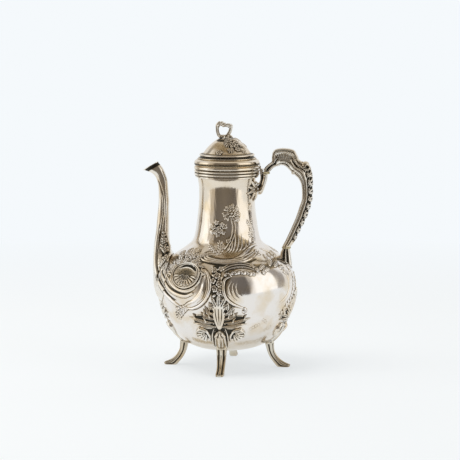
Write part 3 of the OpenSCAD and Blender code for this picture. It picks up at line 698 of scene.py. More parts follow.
def cartouche(r):
    """Wide cartouche of C scrolls with a plain middle."""
    edge = [(99, 131), (93.5, 127), (92.5, 117), (95, 108), (101, 101.5), (109, 97.5)]
    far_edge = [(2 * CARTOUCHE_TURN - turn, run) for turn, run in edge]
    for line, high in [(edge, 1.6), (far_edge, 0.72)]:
        r.ridge(line, 1.6, high, (0.4, 1, 1, 0.9, 0.4))
    for line, half, high in [([(99, 126), (96.5, 119), (98.5, 111), (104, 105)], 0.9, 1.0),
                             ([(102, 127), (99.5, 120), (101.5, 112), (106, 107.5)], 0.7, 0.7),
                             ([(105, 127), (102.5, 120.5), (104, 114), (108, 110)], 0.6, 0.5),
                             ([(89.5, 128), (88.5, 118), (90, 108), (95, 100)], 0.9, 1.0)]:
        r.ridge(line, half, high, (0.4, 1, 0.4))
    r.curl((110, 94), 2.8, 90, -300, 0.9, 1.2)
    for k in range(4):
        r.acanthus([(93 - 0.6 * k, 104 + 7 * k), (89 - 0.4 * k, 109 + 7 * k)], 1.1, 1.1, 3)
    for k in range(5):
        run = 130.5 + 3 * math.sin(math.radians(36 * (k + 0.5)))
        r.shell((96 + 5.5 * k, run), 0.6, 3.6, 20, 160, 4, 1.4)
    for lift, high in [(0, 1.2), (3.2, 1.0), (6.0, 0.8)]:
        arch = [(92, 135.5), (99, 140), (109, 141.5), (118, 139), (125, 134)]
        r.ridge([(turn, run + lift) for turn, run in arch], 1.1, high, (0.4, 1, 1, 0.4))
    r.flower((124, 137), 2.6, 6, 1.4)
    r.flower((129.5, 133.5), 2.2, 5, 1.3)
    r.flower((119.5, 133), 2.0, 5, 1.3)
    for foot, tip in [((127, 138), (135, 143)), ((130, 136), (139, 138)), ((121, 140), (120, 146)),
                      ((140, 141), (149, 149)), ((146, 139), (156, 144)), ((152, 136), (161, 137)),
                      ((156, 131), (164, 128))]:
        r.acanthus([foot, tip], 1.7, 1.2, 4)


def plain_patches(r):
    """Small leaves on the lower belly, on both sides of the mounts."""
    r.acanthus([(118, 72), (124, 76), (130, 78)], 1.2, 0.9, 4)
    r.acanthus([(135, 78), (131, 82), (127, 81)], 1.0, 0.9, 3)


def spray_by_handle(r):
    """Leaves that rise from the leaf mount under the handle."""
    r.leaf([(152, 84), (160, 94), (170, 104)], 4.0, 1.5, 6)
    r.leaf([(166, 104), (172, 116), (171, 128)], 3.6, 1.4, 5)
    r.flower((171, 134), 4.0, 6, 1.3)
    for tip in [(163, 139), (178, 141), (166, 128)]:
        r.blade([(171, 134), tip], 1.6, 1.2)


def body_relief():
    """All ornament of the body, with patina and painted shade round it."""
    r = Relief((0, 180), (24, BODY.length), (int(900 * FINE), int(560 * FINE)), body_unit)
    for draw in (neck_sprays, shoulder_panel, flower_fall, spout_top, cartouche, plain_patches,
                 spray_by_handle):
        draw(r)
    # painted shade on the dark ground between the chased ornament; the faint patches low on the belly are
    # patina
    r.shade([(70, 191), (86, 193)], 6.0, 0.55, (0.8, 1, 0.8))
    r.shade([(98, 206), (114, 205)], 7.0, 0.5, (0.8, 1, 0.8))
    for points, half, level in [([(87, 142), (86, 128), (87, 110)], 6.0, 0.75),
                                ([(96, 131), (92, 122), (92.5, 110), (99, 100)], 4.5, 0.6),
                                ([(96, 138), (108, 144), (122, 141), (136, 140), (152, 142)], 4.5, 0.55),
                                ([(98, 160), (112, 166), (126, 172)], 7.0, 0.4),
                                ([(96, 168), (106, 180), (116, 178), (128, 174)], 6.0, 0.4),
                                ([(74, 158), (90, 153), (110, 154)], 2.2, 0.55),
                                ([(70, 148), (90, 144), (112, 145.5), (128, 151)], 1.5, 0.7),
                                ([(70, 70), (76, 66), (70, 62)], 6.0, 0.28),
                                ([(56, 56), (70, 53), (84, 55)], 4.0, 0.34),
                                ([(112, 52), (128, 53), (140, 58)], 4.5, 0.24),
                                ([(136, 70), (141, 72)], 4.0, 0.22),
                                ([(74, 178), (84, 186), (92, 182)], 7.0, 0.22),
                                ([(84, 168), (104, 160), (130, 166)], 7.0, 0.24)]:
        r.shade(points, half, level)
    return r


def spout_scrolls(r):
    """Mouldings that run down the spout, sweep under the shell and end in the big C scroll."""
    r.groove([(-78, 204), (-71.5, 195), (-67.6, 180), (-66.8, 165), (-68.6, 152), (-71.2, 134), (-73.6, 119)],
             1.5, 1.0, (0.3, 1, 1, 1, 0.4))
    r.ridge([(-71.5, 150), (-74.2, 128), (-75.2, 110), (-73.0, 98), (-67.5, 89), (-61, 81.5), (-53, 75),
             (-45, 70.5)], 2.2, 1.7, (0.3, 1, 1, 1, 1, 0.6))
    r.groove([(-72.6, 106), (-70.4, 96), (-63.8, 87.4), (-56.9, 80.6), (-48, 76)], 1.1, 1.1,
             (0.4, 1, 1, 0.5))
    r.ridge([(-69, 112), (-67, 101.5), (-62, 93.5), (-55.4, 86.5), (-46.4, 82.6), (-37, 81.8), (-29.4, 85.2)],
            2.0, 1.6, (0.2, 0.9, 1, 1, 0.6))
    r.ridge([(-60.5, 101), (-53.2, 92), (-45.3, 87.6), (-36.5, 87), (-28.2, 91), (-23.4, 98)], 1.6, 1.4,
            (0.3, 1, 1, 1, 0.5))
    r.ridge([(-15, 104), (-14.8, 96), (-17.5, 86), (-24, 77.5), (-32, 72.5), (-40, 68)], 5.0, 1.0,
            (0.4, 0.9, 1, 1, 0.8, 0.4))
    r.ridge([(-20.5, 109), (-16, 108.4), (-12.4, 103), (-10.8, 95.5), (-12.0, 87), (-16, 79), (-22, 73),
             (-29, 69.5), (-36, 69)], 1.9, 2.2, (0.6, 1, 1, 1, 0.9, 0.5))
    r.curl((-19.6, 106.2), 2.6, 60, -280, 1.2, 2.0)
    r.ridge([(-17.6, 102), (-17.6, 92.5), (-21, 83.5), (-27.4, 77.5), (-35, 74), (-42, 67.6)], 1.3, 1.4,
            (0.3, 1, 1, 1, 0.5))
    r.groove([(-15, 100), (-14.6, 92), (-18, 82), (-24.5, 75.5)], 1.3, 0.6, (0.4, 1, 0.4))
    r.acanthus([(-36, 70), (-43, 66), (-49, 65)], 3.0, 2.2, 4)
    r.acanthus([(-40, 66), (-45, 61), (-46, 56)], 2.6, 2.2, 4)


def spout_flowers(r):
    """Leaves and flowers on the spout's flank and beside the medallion."""
    for points, half in [([(-66, 130), (-66.8, 137), (-66.6, 144)], 2.4),
                         ([(-65, 121), (-66.5, 127), (-66.8, 132)], 3.0)]:
        r.leaf(points, half, 1.5, 4)
    for place, radius in [((-66.0, 133.5), 2.8), ((-65.0, 124.5), 3.4), ((-63.0, 115.5), 3.6)]:
        r.flower(place, radius, 5, 1.9, place[1] * 9)
    for points, half in [([(-62, 112), (-60.5, 105), (-56, 99.5)], 3.0),
                         ([(-67.5, 116), (-67, 109), (-64, 103)], 2.4),
                         ([(-56, 112), (-54.5, 108), (-55, 103)], 2.4),
                         ([(-61, 119), (-55, 117.5), (-50, 119.5)], 2.6)]:
        r.acanthus(points, half, 1.9, 5)
    r.curl((-51.5, 112.5), 2.4, 200, 300, 1.1, 2.0)
    for points in [[(-46, 113.5), (-39, 117.5), (-33.5, 119.5)],
                   [(-37, 113.5), (-30.5, 116.5), (-25.5, 115)]]:
        r.leaf(points, 3.0, 2.0, 4)
    r.curl((-27.5, 114), 2.6, 180, 300, 1.1, 2.0)


def side_relief():
    """Ornament that crosses from the spout to the body, drawn as seen from the side, in X and Z."""
    r = Relief((-95, -5), (45, 215), (int(300 * FINE) + 1, int(560 * FINE) + 1))
    spout_scrolls(r)
    spout_flowers(r)
    # painted shade on the ground between the spout's leaves, scrolls and flowers
    r.shade([(-67, 146), (-66.5, 138), (-65, 128), (-63.5, 118), (-60, 108), (-56, 101)], 4.5, 0.75,
            (0.3, 0.8, 1, 1, 1, 0.8))
    r.shade([(-62, 115), (-50, 115), (-38, 115), (-25, 114)], 3.5, 0.45)
    r.shade([(-66, 104), (-61, 94), (-54, 87.5), (-45, 84), (-33, 83)], 1.6, 0.7)
    r.shade([(-71, 98), (-65.5, 89), (-59, 82.5), (-50, 76.5)], 1.5, 0.8)
    r.shade([(-42, 67), (-46, 62)], 3.6, 0.6)
    r.shade([(-16, 99), (-15.6, 92), (-18.6, 83.5), (-24, 77.5)], 0.9, 0.6, (0.3, 1, 1, 0.3))
    return r


BODY_RELIEF = body_relief()
SIDE_RELIEF = side_relief()


def side_place(points):
    """Where points lie in the side ornament, which is drawn as the camera sees it."""
    shift = math.radians(DRAWN) * np.abs(points[..., 1])
    return points[..., 0] - shift, points[..., 2] - DRAWN_DROP * shift


def side_rise(points, normal_y):
    """Rise of the side ornament at points whose surface faces sideways by normal_y."""
    return SIDE_RELIEF.at(*side_place(points)) * ease(np.abs(normal_y), 0.25, 0.6)


def side_dark(points):
    """Patina and painted shade of the side ornament."""
    return SIDE_RELIEF.at(*side_place(points), SIDE_RELIEF.dark)


def chased_body():
    """The raised body with its chased ornament, and its plain inside."""
    columns = int(960 * FINE)
    angle, turns, runs = skin_grid(BODY, BODY_START, int(480 * FINE), columns)
    plain = BODY.skin(angle, runs, 0)
    sideways = np.sin(np.radians(angle)) * np.interp(runs, BODY.run, BODY.normal[:, 0])
    rise = BODY_RELIEF.at(turns - DRAWN, runs - DRAWN_RISE) + side_rise(plain, sideways)
    flare = FLARE * ease(plain[..., 2], *FLARE_HEIGHTS) ** 2
    hammer = HAMMER * np.sin(turns * 0.9 + 3 * np.sin(runs / 11)) * np.sin(runs / 5.5)
    outer = BODY.skin(angle, runs, np.minimum(rise, MOST_RISE) + hammer + flare)
    inner_run = np.linspace(BODY.length, BODY_START, int(90 * FINE))[:, None]
    inner = BODY.skin(angle, inner_run, -WALL)
    grid = np.concatenate([outer, inner])
    total = len(grid)
    bottom = BODY_POINTS[0][1]
    points = np.vstack([grid.reshape(-1, 3), [[0, 0, bottom], [0, 0, bottom + WALL]]])
    start = fan(total * columns, np.arange(columns), True)
    end = fan(total * columns + 1, (total - 1) * columns + np.arange(columns), False)
    dark = BODY_RELIEF.at(turns - DRAWN, runs - DRAWN_RISE, BODY_RELIEF.dark)
    dark = np.maximum(dark, side_dark(plain))
    darkening = np.append(dark, np.full(len(points) - dark.size, BODY_INSIDE))
    add_piece("chased_body", points, [wrapped(total, columns), start, end], "pot", SHEET,
              ["body_shell", "scrolls_front", "scrolls_back"], darkening)


chased_body()

# ---------------------------------------------------------------- spout

SPOUT = [[-74.5, 74.5, -58.2, 120, 25], [-77.8, 84, -60, 124, 16.5], [-79, 100, -61.2, 131, 11.5],
         [-78.7, 116, -61.5, 138, 9.4], [-77.8, 130, -61.7, 146, 8.2], [-75.8, 143, -61.7, 154, 7.2],
         [-74.3, 158, -61.6, 165, 6.3], [-73, 173, -61.6, 176, 5.6], [-72.7, 186, -62.5, 188, 5],
         [-73.6, 194, -63.3, 197, 4.8], [-75.6, 200, -65.5, 204, 4.9], [-79.8, 204.6, -68.8, 210.6, 5.2],
         [-89.2, 208, -73.9, 216.7, 4.4]]
SPOUT_WALL = 0.9
SPOUT_SQUARE = 2.2       # 2 is a round section, and more is a squarer one
BEAK_SLOPE = 0.568       # rise of the spout's mouth for each millimetre towards the body
FOOT_ANGLE = 34          # the foot's half width on the body, in degrees
FOOT_LOW = BODY.run_at(67)
FOOT_HIGH = BODY.run_at(116.5)
SEAT = 0.3               # gap between a cast piece and the body's smooth skin


def clear_of_body(points, gap):
    """Points moved out from the axis until they clear the body."""
    least = np.interp(points[..., 2], BODY.line[:, 1], BODY.line[:, 0]) + gap
    grow = np.maximum(least / np.hypot(points[..., 0], points[..., 1]), 1)
    return points * np.stack([grow, grow, np.ones_like(grow)], -1)


def footprint(angle, columns, inset, rise):
    """The closed line where the spout meets the body."""
    t = np.linspace(0, 2 * np.pi, columns, endpoint=False)
    low, high = FOOT_LOW + inset, FOOT_HIGH - inset
    run = low + (high - low) * (1 + np.cos(t)) / 2
    return BODY.skin(180 - angle * np.sin(t), run, rise)


def spout():
    """The spout with its mouldings, ending in the beak."""
    columns = int(220 * FINE)
    line = smooth(SPOUT, int(22 * FINE))
    outer = clear_of_body(section_grid(line, columns, SPOUT_SQUARE)[0], SEAT + 2.4 * SPOUT_WALL)
    foot = footprint(FOOT_ANGLE, columns, 0, SEAT)
    share = np.linspace(0, 1, 12, endpoint=False)[:, None, None]
    outer = np.concatenate([foot * (1 - share) + outer[0] * share, outer])
    normal = normals(outer)
    rise = side_rise(outer, normal[..., 1])
    lip = ease(np.arange(len(outer)), len(outer) - 8, len(outer) - 2)[:, None]
    outer = outer + (rise * (1 - lip) + 0.35 * lip)[..., None] * normal
    throat = line[::-1].copy()
    step = throat[:, 2:4] - throat[:, 0:2]
    step *= SPOUT_WALL / np.linalg.norm(step, axis=1)[:, None]
    throat[:, 0:2] += step
    throat[:, 2:4] -= step
    throat[:, 4] -= SPOUT_WALL
    inner = clear_of_body(section_grid(throat, columns, SPOUT_SQUARE)[0], 3 * SEAT)
    tip_x, tip_z = SPOUT[-1][:2]
    # painted shade: a dark band just under the beak's mouth, and the inside of the throat all dark
    below = tip_z + BEAK_SLOPE * (outer[..., 0] - tip_x) - outer[..., 2]
    beak = ease(below, 0.3, 0.8) * (1 - ease(below, 4.0, 5.6)) * ease(outer[..., 0], -88, -85)
    dark = np.maximum(side_dark(outer), beak)
    darkening = np.append(dark, np.ones((len(inner) + 1) * columns))
    grid = np.concatenate([outer, inner, footprint(FOOT_ANGLE - 4, columns, 3, SEAT)[None]])
    add_loop("spout", grid, darkening, "pot", CAST, ["spout_front_half", "spout_back_half"])


spout()

# ---------------------------------------------------------------- cast leaves that hug the body

MOST_REACH = 74.5        # cast leaves never reach further out than this
LEAF_EDGE = 0.06         # relief lower than this is outside the leaf
LEAF_LEAST = 0.12        # and what is inside stands at least this high
LEAF_UNDER = 0.02        # gap between a leaf's underside and the body
SHELL_UNIT = 0.8         # makes the round shells a quarter wider than they are high
SHELL_TURN = 58.5        # turn of the shells from the spout


def plate(name, angle, run, relief, node, clean=1.7):
    """A cast ornament that hugs the body about a place. It ends where its relief ends.

    Its low ground is darkened up to the clean height, as patina and painted shade between the raised parts.
    """
    inside = relief.up > LEAF_EDGE
    height = np.where(inside, np.maximum(relief.up - relief.down, LEAF_LEAST), 0)
    across, runs = np.meshgrid(relief.across, run + relief.along)
    radius = BODY.radius(runs)
    turn = angle + across * 180 / np.pi / radius
    top = BODY.skin(turn, runs, np.minimum(SEAT * inside + height, MOST_REACH - radius))
    under = BODY.skin(turn, runs, LEAF_UNDER)
    index = np.arange(height.size).reshape(height.shape)
    twin = np.where(inside, index + height.size, index)
    cell = inside[:-1, :-1] | inside[1:, :-1] | inside[:-1, 1:] | inside[1:, 1:]

    def quads(k):
        return np.stack([k[:-1, :-1], k[:-1, 1:], k[1:, 1:], k[1:, :-1]], -1)[cell]

    faces = np.concatenate([quads(index), quads(twin)[:, ::-1]])
    points = np.concatenate([top.reshape(-1, 3), under.reshape(-1, 3)])
    used, faces = np.unique(faces, return_inverse=True)
    patina_and_shade = np.maximum(0.85 * (1 - ease(height, 0.3 * clean, clean)), relief.dark)
    darkening = np.tile(patina_and_shade, (2, 1)).ravel()[used]
    add_piece(name, points[used], [faces.reshape(-1, 4)], "pot", CAST, [node], darkening)


def lobe(r, points, half, high):
    """A pointed lobe of a leaf with a vein along it."""
    r.ridge(points, half, high, (0.6, 1, 1, 0.8, 0.35), 0.6)
    r.groove(points, 0.22 * half, 0.55 * high, (1, 1, 0.4))


def frond(r, points, half, high, teeth, side):
    """A long lobe with pointed teeth on its upper edge."""
    lobe(r, points, half, high)
    line = r.track(points, 0.5)
    for t in np.linspace(0.3, 0.75, teeth):
        place, angle = r.heading(line, t)
        foot = r.away(place, 0.5 * half, angle + side * 90)
        middle = r.away(place, 1.8 * half, angle + side * 66)
        tip = r.away(place, 3.0 * half, angle + side * 50)
        r.ridge([foot, middle, tip], 0.62 * half, 0.95 * high, (1, 1, 0.4))
        notch = r.away(place, half, angle + side * 100)
        end = r.away(place, 1.9 * half, angle + side * 84)
        r.groove([notch, end], 0.3 * half, 0.7 * high, (0.6, 1))


def mount_side(r, side, crest):
    """One side of the acanthus mount: toothed leaves, a fluted scroll and the leg's shoulder."""

    def at(*places):
        return [(side * x, y) for x, y in places]

    if crest:
        lobe(r, at((5, 17), (9, 21), (9.5, 27)), 2.2, 2.7)
        frond(r, at((6, 14), (11, 17), (14.5, 22.5)), 2.1, 2.9, 1, side)
    frond(r, at((6, 9), (12.5, 11), (19, 15.5)), 2.1, 2.9, 2, side)
    frond(r, at((6, 4), (14, 5), (24, 7.5), (32.5, 9)), 2.1, 3.0, 2, side)
    lobe(r, at((4, 0), (12, 0.5), (21, 2.5), (28, 2.5)), 2.0, 2.8)
    r.ridge(at((10, -20), (10.8, -11), (14.5, -5), (20, -3.6), (25, -7), (24.5, -13)), 1.5, 3.0,
            (0.5, 1, 1, 1, 0.7))
    r.shell(at((14, -8.5))[0], 2.5, 11, 90 - side * 172, 90 - side * 55, 6, 2.3)
    r.ridge(at((18, -7), (19.5, -11), (17, -15)), 1.1, 2.6, (0.6, 1, 0.5))
    r.ridge(at((5.8, -3), (7.6, -9), (8.0, -17), (7.0, -27)), 1.2, 2.2, (0.5, 1, 1, 0.8))
    r.dot(at((3.4, -3.6))[0], 2.4, 3.6, 0.5, r.down)
    r.dot(at((7.2, 18.5))[0], 1.9, 3.2, 0.5, r.down)
    r.dot(at((7.6, 3.4))[0], 1.2, 2.4, 0.5, r.down)


def leaf_mount_relief(crest):
    """Acanthus mount above a leg: a ribbed tongue, leaves on both sides and the leg's knee."""
    r = Relief((-34, 34), (-31, 38), (int(300 * FINE), int(304 * FINE)))
    for points, half in [([(0, 24 if crest else 14), (0, -26)], 8.0), ([(-22, 7), (22, 7)], 6.0),
                         ([(-19, -9), (19, -9)], 7.0)]:
        r.ridge(points, half, 0.55, (1,), 0.1)
    r.ridge([(0, -10), (0, -20), (0, -31)], 6.4, 3.5, (0.85, 1, 0.95), 0.4)
    for side in (-1, 1):
        r.groove([(side * 3.3, -13), (side * 3.2, -31)], 1.9, 1.1, (0.6, 1))
        mount_side(r, side, crest)
    r.ridge([(0, -1), (0, 7), (0, 15), (0, 22)], 7.2, 3.3, (0.4, 0.72, 0.95, 1), 0.4)
    for x in (-3.4, 0.0, 3.4):
        r.groove([(0.35 * x, 2), (0.8 * x, 11), (x, 21)], 0.7, 0.8, (0.4, 1, 0.8))
    if crest:
        for angle, reach in [(90, 15.5), (62, 15), (118, 15), (34, 12), (146, 12)]:
            lobe(r, [r.away((0, 19), 6, angle), r.away((0, 19), reach, angle)], 2.6, 3.2)
        for angle in (76, 104, 48, 132):
            r.dot(r.away((0, 19), 10.5, angle), 1.0, 2.4, 0.5, r.down)
    for angle, reach in [(-90, 10), (-58, 8.5), (-122, 8.5)]:
        r.ridge([r.away((0, -4), 1, angle), r.away((0, -4), reach, angle)], 1.9, 4.5, (0.5, 1, 0.8), 0.5)
    for angle in (-75, -105):
        r.groove([r.away((0, -4), 2, angle), r.away((0, -4), 9.5, angle)], 0.6, 2.4, (0.6, 1))
    return r


def leaf_mounts():
    """The four mounts over the legs. The one under the spout has no crest."""
    tall = leaf_mount_relief(True)
    short = leaf_mount_relief(False)
    for name, angle, relief in [("front", 270, tall), ("back", 90, tall), ("spout_side", 180, short),
                                ("handle_side", 0, tall)]:
        plate("acanthus_" + name, angle, BODY.run_at(52.5), relief, "leaf_mount_" + name)


def shell_relief():
    """Round shell in a frame of leaves, with a dark crescent above it: a groove with painted shade in it."""
    r = Relief((-24, 24), (-20, 20), (int(200 * FINE), int(170 * FINE)), lambda run: SHELL_UNIT)
    middle, fan_foot = (0, 0), (0, 1)

    def arc(radius, angles=range(-60, 301, 24)):
        return [r.away(middle, radius, angle) for angle in angles]

    r.dot(middle, 15, 0.6, 0.1)
    for radius in np.arange(0.6, 12, 0.8):
        r.ridge(arc(radius), 0.9, 0.7 + 1.3 * (radius / 12) ** 2)
    r.ridge(arc(13.2), 1.2, 2.8)
    r.ridge(arc(15.6, range(150, 401, 24)), 0.9, 2.2)
    r.shell(fan_foot, 6.5, 11.9, 196, 344, 10, 2.5)
    for k in range(9):
        angle = 204.2 + 16.45 * k
        r.groove([r.away(fan_foot, 7.5, angle), r.away(fan_foot, 11.8, angle)], 0.55, 2.2, (0.5, 1))
        # painted shade in the gaps between the flutes
        r.shade([r.away(fan_foot, 8, angle), r.away(fan_foot, 11.5, angle)], 0.7, 1.0)
    for angle in (215, 240, 262, 282, 300, 318):
        r.ridge([r.away((0, 2), 1.5, angle), r.away((0, 2), 7, angle)], 0.5, 1.6, (0.4, 1))
    crescent = arc(10.4, (30, 60, 85, 110, 140))
    r.groove(crescent, 1.7, 2.2, (0.5, 1, 1, 1, 0.4))
    # painted shade in the crescent, over the dish and in the gaps round the rings
    r.shade(crescent, 1.8, 1.0, (0.5, 1, 1, 1, 0.4))
    r.shade([(-4, 2), (4, 2)], 8.0, 0.7)
    r.shade(arc(12.1), 0.7, 0.9)
    r.shade(arc(14.6), 0.6, 0.8)
    for angle in range(20, 161, 28):
        leaf = [r.away(middle, 13.5, angle), r.away(middle, 16, angle - 4), r.away(middle, 18.5, angle - 14)]
        lobe(r, leaf, 2.0, 2.6)
    return r


def spout_shells():
    """The shells beside the foot of the spout. The back one mirrors the front one."""
    r = shell_relief()
    place = BODY.run_at(104.5)
    plate("shell_front", 180 + SHELL_TURN, place, r, "spout_shell_front", 1.0)
    r.up, r.down, r.dark = [field[:, ::-1] for field in (r.up, r.down, r.dark)]
    plate("shell_back", 180 - SHELL_TURN, place, r, "spout_shell_back", 1.0)


def neck_leaf():
    """Leaves that hold the upper socket on the neck."""
    r = Relief((-22, 22), (-13, 13), (int(170 * FINE), int(100 * FINE)))
    r.ridge([(-12, 0), (12, 0)], 7.0, 0.6, (1,), 0.1)
    for side in (-1, 1):
        for x, y in [(19.5, -3), (19, 4), (14, -9), (13, 9.5), (7, -11.5)]:
            lobe(r, [(side * 2, 0), (side * x * 0.55, y * 0.35), (side * x, y)], 2.1, 3.0)
    r.flower((0, 2), 6.0, 6, 3.4)
    plate("neck_leaves", 0, BODY.run_at(188.9), r, "neck_leaf")


leaf_mounts()
spout_shells()
neck_leaf()

# ---------------------------------------------------------------- rings and lid

LID_Z = corners("lid_rim")[0][2]    # the lid's outlines give heights above this


def beaded(low, high, ground, beads):
    """Outline from low to high: a ground radius with round beads of [middle height, half height, radius]."""
    z = np.linspace(low, high, int((high - low) / 0.1))
    r = np.full(len(z), float(ground))
    for middle, half, reach in beads:
        r = np.maximum(r, reach - half + half * np.sqrt(np.clip(1 - ((z - middle) / half) ** 2, 0, 1)))
    return np.stack([r, z], -1)


def mouth_ring():
    """Three beads round the mouth, with dark grooves between them: patina and painted shade."""
    low = MOUTH_Z - 9
    foot = MOUTH_Z - 7.6
    line = beaded(low, MOUTH_Z, 31.2, [(MOUTH_Z - 1.25, 1.25, RIM_R), (MOUTH_Z - 4.3, 1.5, RIM_R - 0.1),
                                       (MOUTH_Z - 6.9, 0.8, RIM_R - 1.3)])
    line[:, 0] = np.where(line[:, 1] < foot, 29.7 + 1.6 * ease(line[:, 1], low, foot), line[:, 0])
    patina_and_shade = [[-9, 0.9], [-7.4, 0.3], [-6.4, 0.2], [-6.0, 1], [-5.1, 0.8], [-4.4, 0.1], [-3.4, 0.2], [-2.9, 1],
             [-2.3, 1], [-1.6, 0.6], [-0.6, 0.2], [0, 1]]
    inner = [[NECK_R + 0.05, MOUTH_Z], [NECK_R + 0.05, low]]
    turned("mouth_mouldings", Outline(line, 1), inner, "pot", RINGS, ["mouth_ring"], MOUTH_Z, patina_and_shade)


def lid_ring():
    """Bead at the lower edge of the lid."""
    high = 3.9
    line = beaded(LID_Z, LID_Z + high, 32.2, [(LID_Z + high / 2, high / 2, RIM_R)])
    # patina and painted shade where the bead meets the parts above and below
    patina_and_shade = [[0, 1], [0.9, 0.8], [1.6, 0], [2.8, 0.1], [high, 1]]
    inner = [[28, LID_Z + high], [28, LID_Z]]
    turned("lid_edge", Outline(line, 1), inner, "lid", RINGS, ["lid_rim"], LID_Z, patina_and_shade)


LID_OUTER = [[33.1, 3.95], [34.0, 5], [34.3, 7], [33.8, 9.1], [32.4, 10.2], [31.0, 10.9], [30.6, 12],
             [30.6, 12.4], [29.0, 12.6], [28.2, 13.2], [28.2, 14.2], [29.0, 14.8], [29.0, 15.6], [28.2, 16.2],
             [26.2, 16.3], [25.2, 16.9], [23.8, 18.8], [20.3, 23.1], [16.2, 27.1], [12.3, 30.2], [8.9, 32.1],
             [6.2, 32.4], [1.7, 32.4]]
LID_INNER = [[1.7, 31.3], [6, 31.3], [8, 31], [10.8, 29.1], [14.6, 25.8], [18.9, 21.9], [22.8, 17.9],
             [23.4, 16.6], [24.2, 15.2], [27, 14.9], [27.3, 14.1], [27.3, 11.9], [29.6, 11.3], [30.2, 9.2],
             [32, 8.4], [32.7, 7.2], [32.7, 5.6], [31.9, 3.95]]


def lid_relief(outline):
    """Flowers and leaves chased on the dome of the lid, with painted shade round them and under the finial.
    """

    def unit(run):
        return max(float(outline.radius(run)), 3.0) * math.pi / 180

    def at(turn, height):
        return (turn, outline.run_at(LID_Z + height))

    r = Relief((0, 180), (0, outline.length), (int(500 * FINE), int(260 * FINE)), unit)
    r.flower(at(77, 18.8), 3.0, 6, 1.1)
    for tip in [(66, 20.5), (90, 20), (70, 17)]:
        r.blade([at(77, 18.8), at(*tip)], 1.2, 1.0)
    for turn, height, radius in [(104, 30.2, 2.8), (116, 26.4, 3.6), (134, 27.6, 3.4), (128, 22.2, 3.0)]:
        r.flower(at(turn, height), radius, 6, 1.9, turn)
    for points in [((96, 31), (97, 27.5), (103, 24)), ((112, 23.5), (108, 21.5), (101, 20.5)),
                   ((128, 31), (142, 30.6), (150, 29)), ((144, 26), (152, 24.5), (158, 22)),
                   ((138, 22), (147, 20.5), (154, 19.5)), ((120, 30.5), (116, 31.2), (108, 31.8))]:
        r.acanthus([at(*place) for place in points], 2.0, 1.7, 4)
    # painted shade round the flowers, and painted shadow under the finial's foot near the top
    for points, half, level in [(((100, 30), (110, 27), (124, 25), (140, 26)), 5.5, 0.85),
                                (((48, 24), (64, 25), (82, 24), (94, 22)), 5.0, 0.3),
                                (((40, 31), (60, 31), (80, 31)), 1.8, 0.7), (((74, 19), (80, 19)), 3.0, 0.6),
                                (((55, 26), (75, 25), (95, 23), (105, 22)), 6.0, 0.4),
                                (((40, 31), (60, 30.6), (80, 30.6), (100, 31)), 2.2, 0.9)]:
        r.shade([at(*place) for place in points], half, level)
    return r


def lid_dome():
    """The lid's stepped moulding and its chased dome, hollow inside."""
    outline = Outline([[radius, LID_Z + height] for radius, height in LID_OUTER], 5)
    inner = [[radius, LID_Z + height] for radius, height in LID_INNER]
    # patina and painted shade in the steps and grooves of the moulding
    patina_and_shade = [[3.9, 1], [5.8, 0.95], [6.9, 0.7], [7.8, 0.1], [9.6, 0.05], [11.4, 0.2], [12.4, 0.45],
             [14.2, 0.45], [14.9, 0.1], [15.6, 0.05], [16.2, 0.6], [17.4, 0.25], [19, 0.15], [31.6, 0.15],
             [32.3, 0.9]]
    turned("lid_dome", outline, inner, "lid", SHEET, ["lid_shell"], LID_Z, patina_and_shade, lid_relief(outline))


def finial():
    """Open scroll loop with leaves at its top, standing on a leafy foot."""
    base = corners("finial_collar")[1][2]
    high = corners("finial")[1][2] - base

    def band(places, halves):
        return strand([(x, 0.0, base + up) for x, up in places], halves, 1.2)

    left = band([(-3, -0.4), (-7.6, 0.2), (-9.6, 3.4), (-10.3, 8), (-9.6, 12), (-6.8, 14.8)],
                (2.0, 1.8, 1.7, 1.7, 2.2, 2.0))
    right = band([(-3, -0.4), (-0.8, 0.2), (1.6, 2.6), (3.5, 6.4), (4.0, 10), (2.8, 12.8)],
                 (1.7, 1.7, 1.8, 1.8, 1.7))
    link = band([(-7, 14), (-4, 12.8), (-1, 11.8), (2.4, 11)], (2.2, 2.2, 1.7, 1.4))
    leaves = []
    for places, half in [([(-9.4, 9.6), (-8.6, 13), (-6.4, high - 1.8)], 2.0),
                         ([(-6.8, 11.5), (-5.2, 14), (-4.4, high - 1.2)], 2.1),
                         ([(-5, 10.6), (-2.6, 12.4), (-1.6, 14.2)], 1.9),
                         ([(0.6, 10), (2.6, 11.8), (4.0, 12.6)], 2.0),
                         ([(3.4, 8.4), (4.4, 10.4), (4.6, 12.6)], 1.7),
                         ([(-1, 10.6), (0.2, 12), (1.4, 13.6)], 1.4)]:
        for side in (-0.9, 0.9):
            line = [(x, side * (0.9 + 0.7 * k), base + up) for k, (x, up) in enumerate(places)]
            leaves.append(strand(line, (0.5 * half, half, 0.9 * half, 0.3 * half)))
    for angle in np.arange(22.5, 360, 45):
        turn = math.radians(angle)
        line = [(reach * math.cos(turn), reach * math.sin(turn), base + up)
                for reach, up in [(1.4, 0.2), (3.8, 0.2), (6.2, -1.0)]]
        leaves.append(strand(line, (1.3, 1.5, 0.7)))
    # painted shade: dark flutes along each strand, the right strand darker all over, the leaves a little
    # darker
    flutes = 0.85 * ease(-np.cos(STRAND_FLUTES * STRAND_ROUND), 0.1, 0.8)
    darkenings = [flutes, np.maximum(flutes, 0.75)] + [np.maximum(flutes, 0.25)] * (1 + len(leaves))
    add_tubes("finial_scrolls", [left, right, link, *leaves], darkenings, "lid", CAST, ["finial"])


mouth_ring()
lid_ring()
lid_dome()
finial()

# ---------------------------------------------------------------- handle

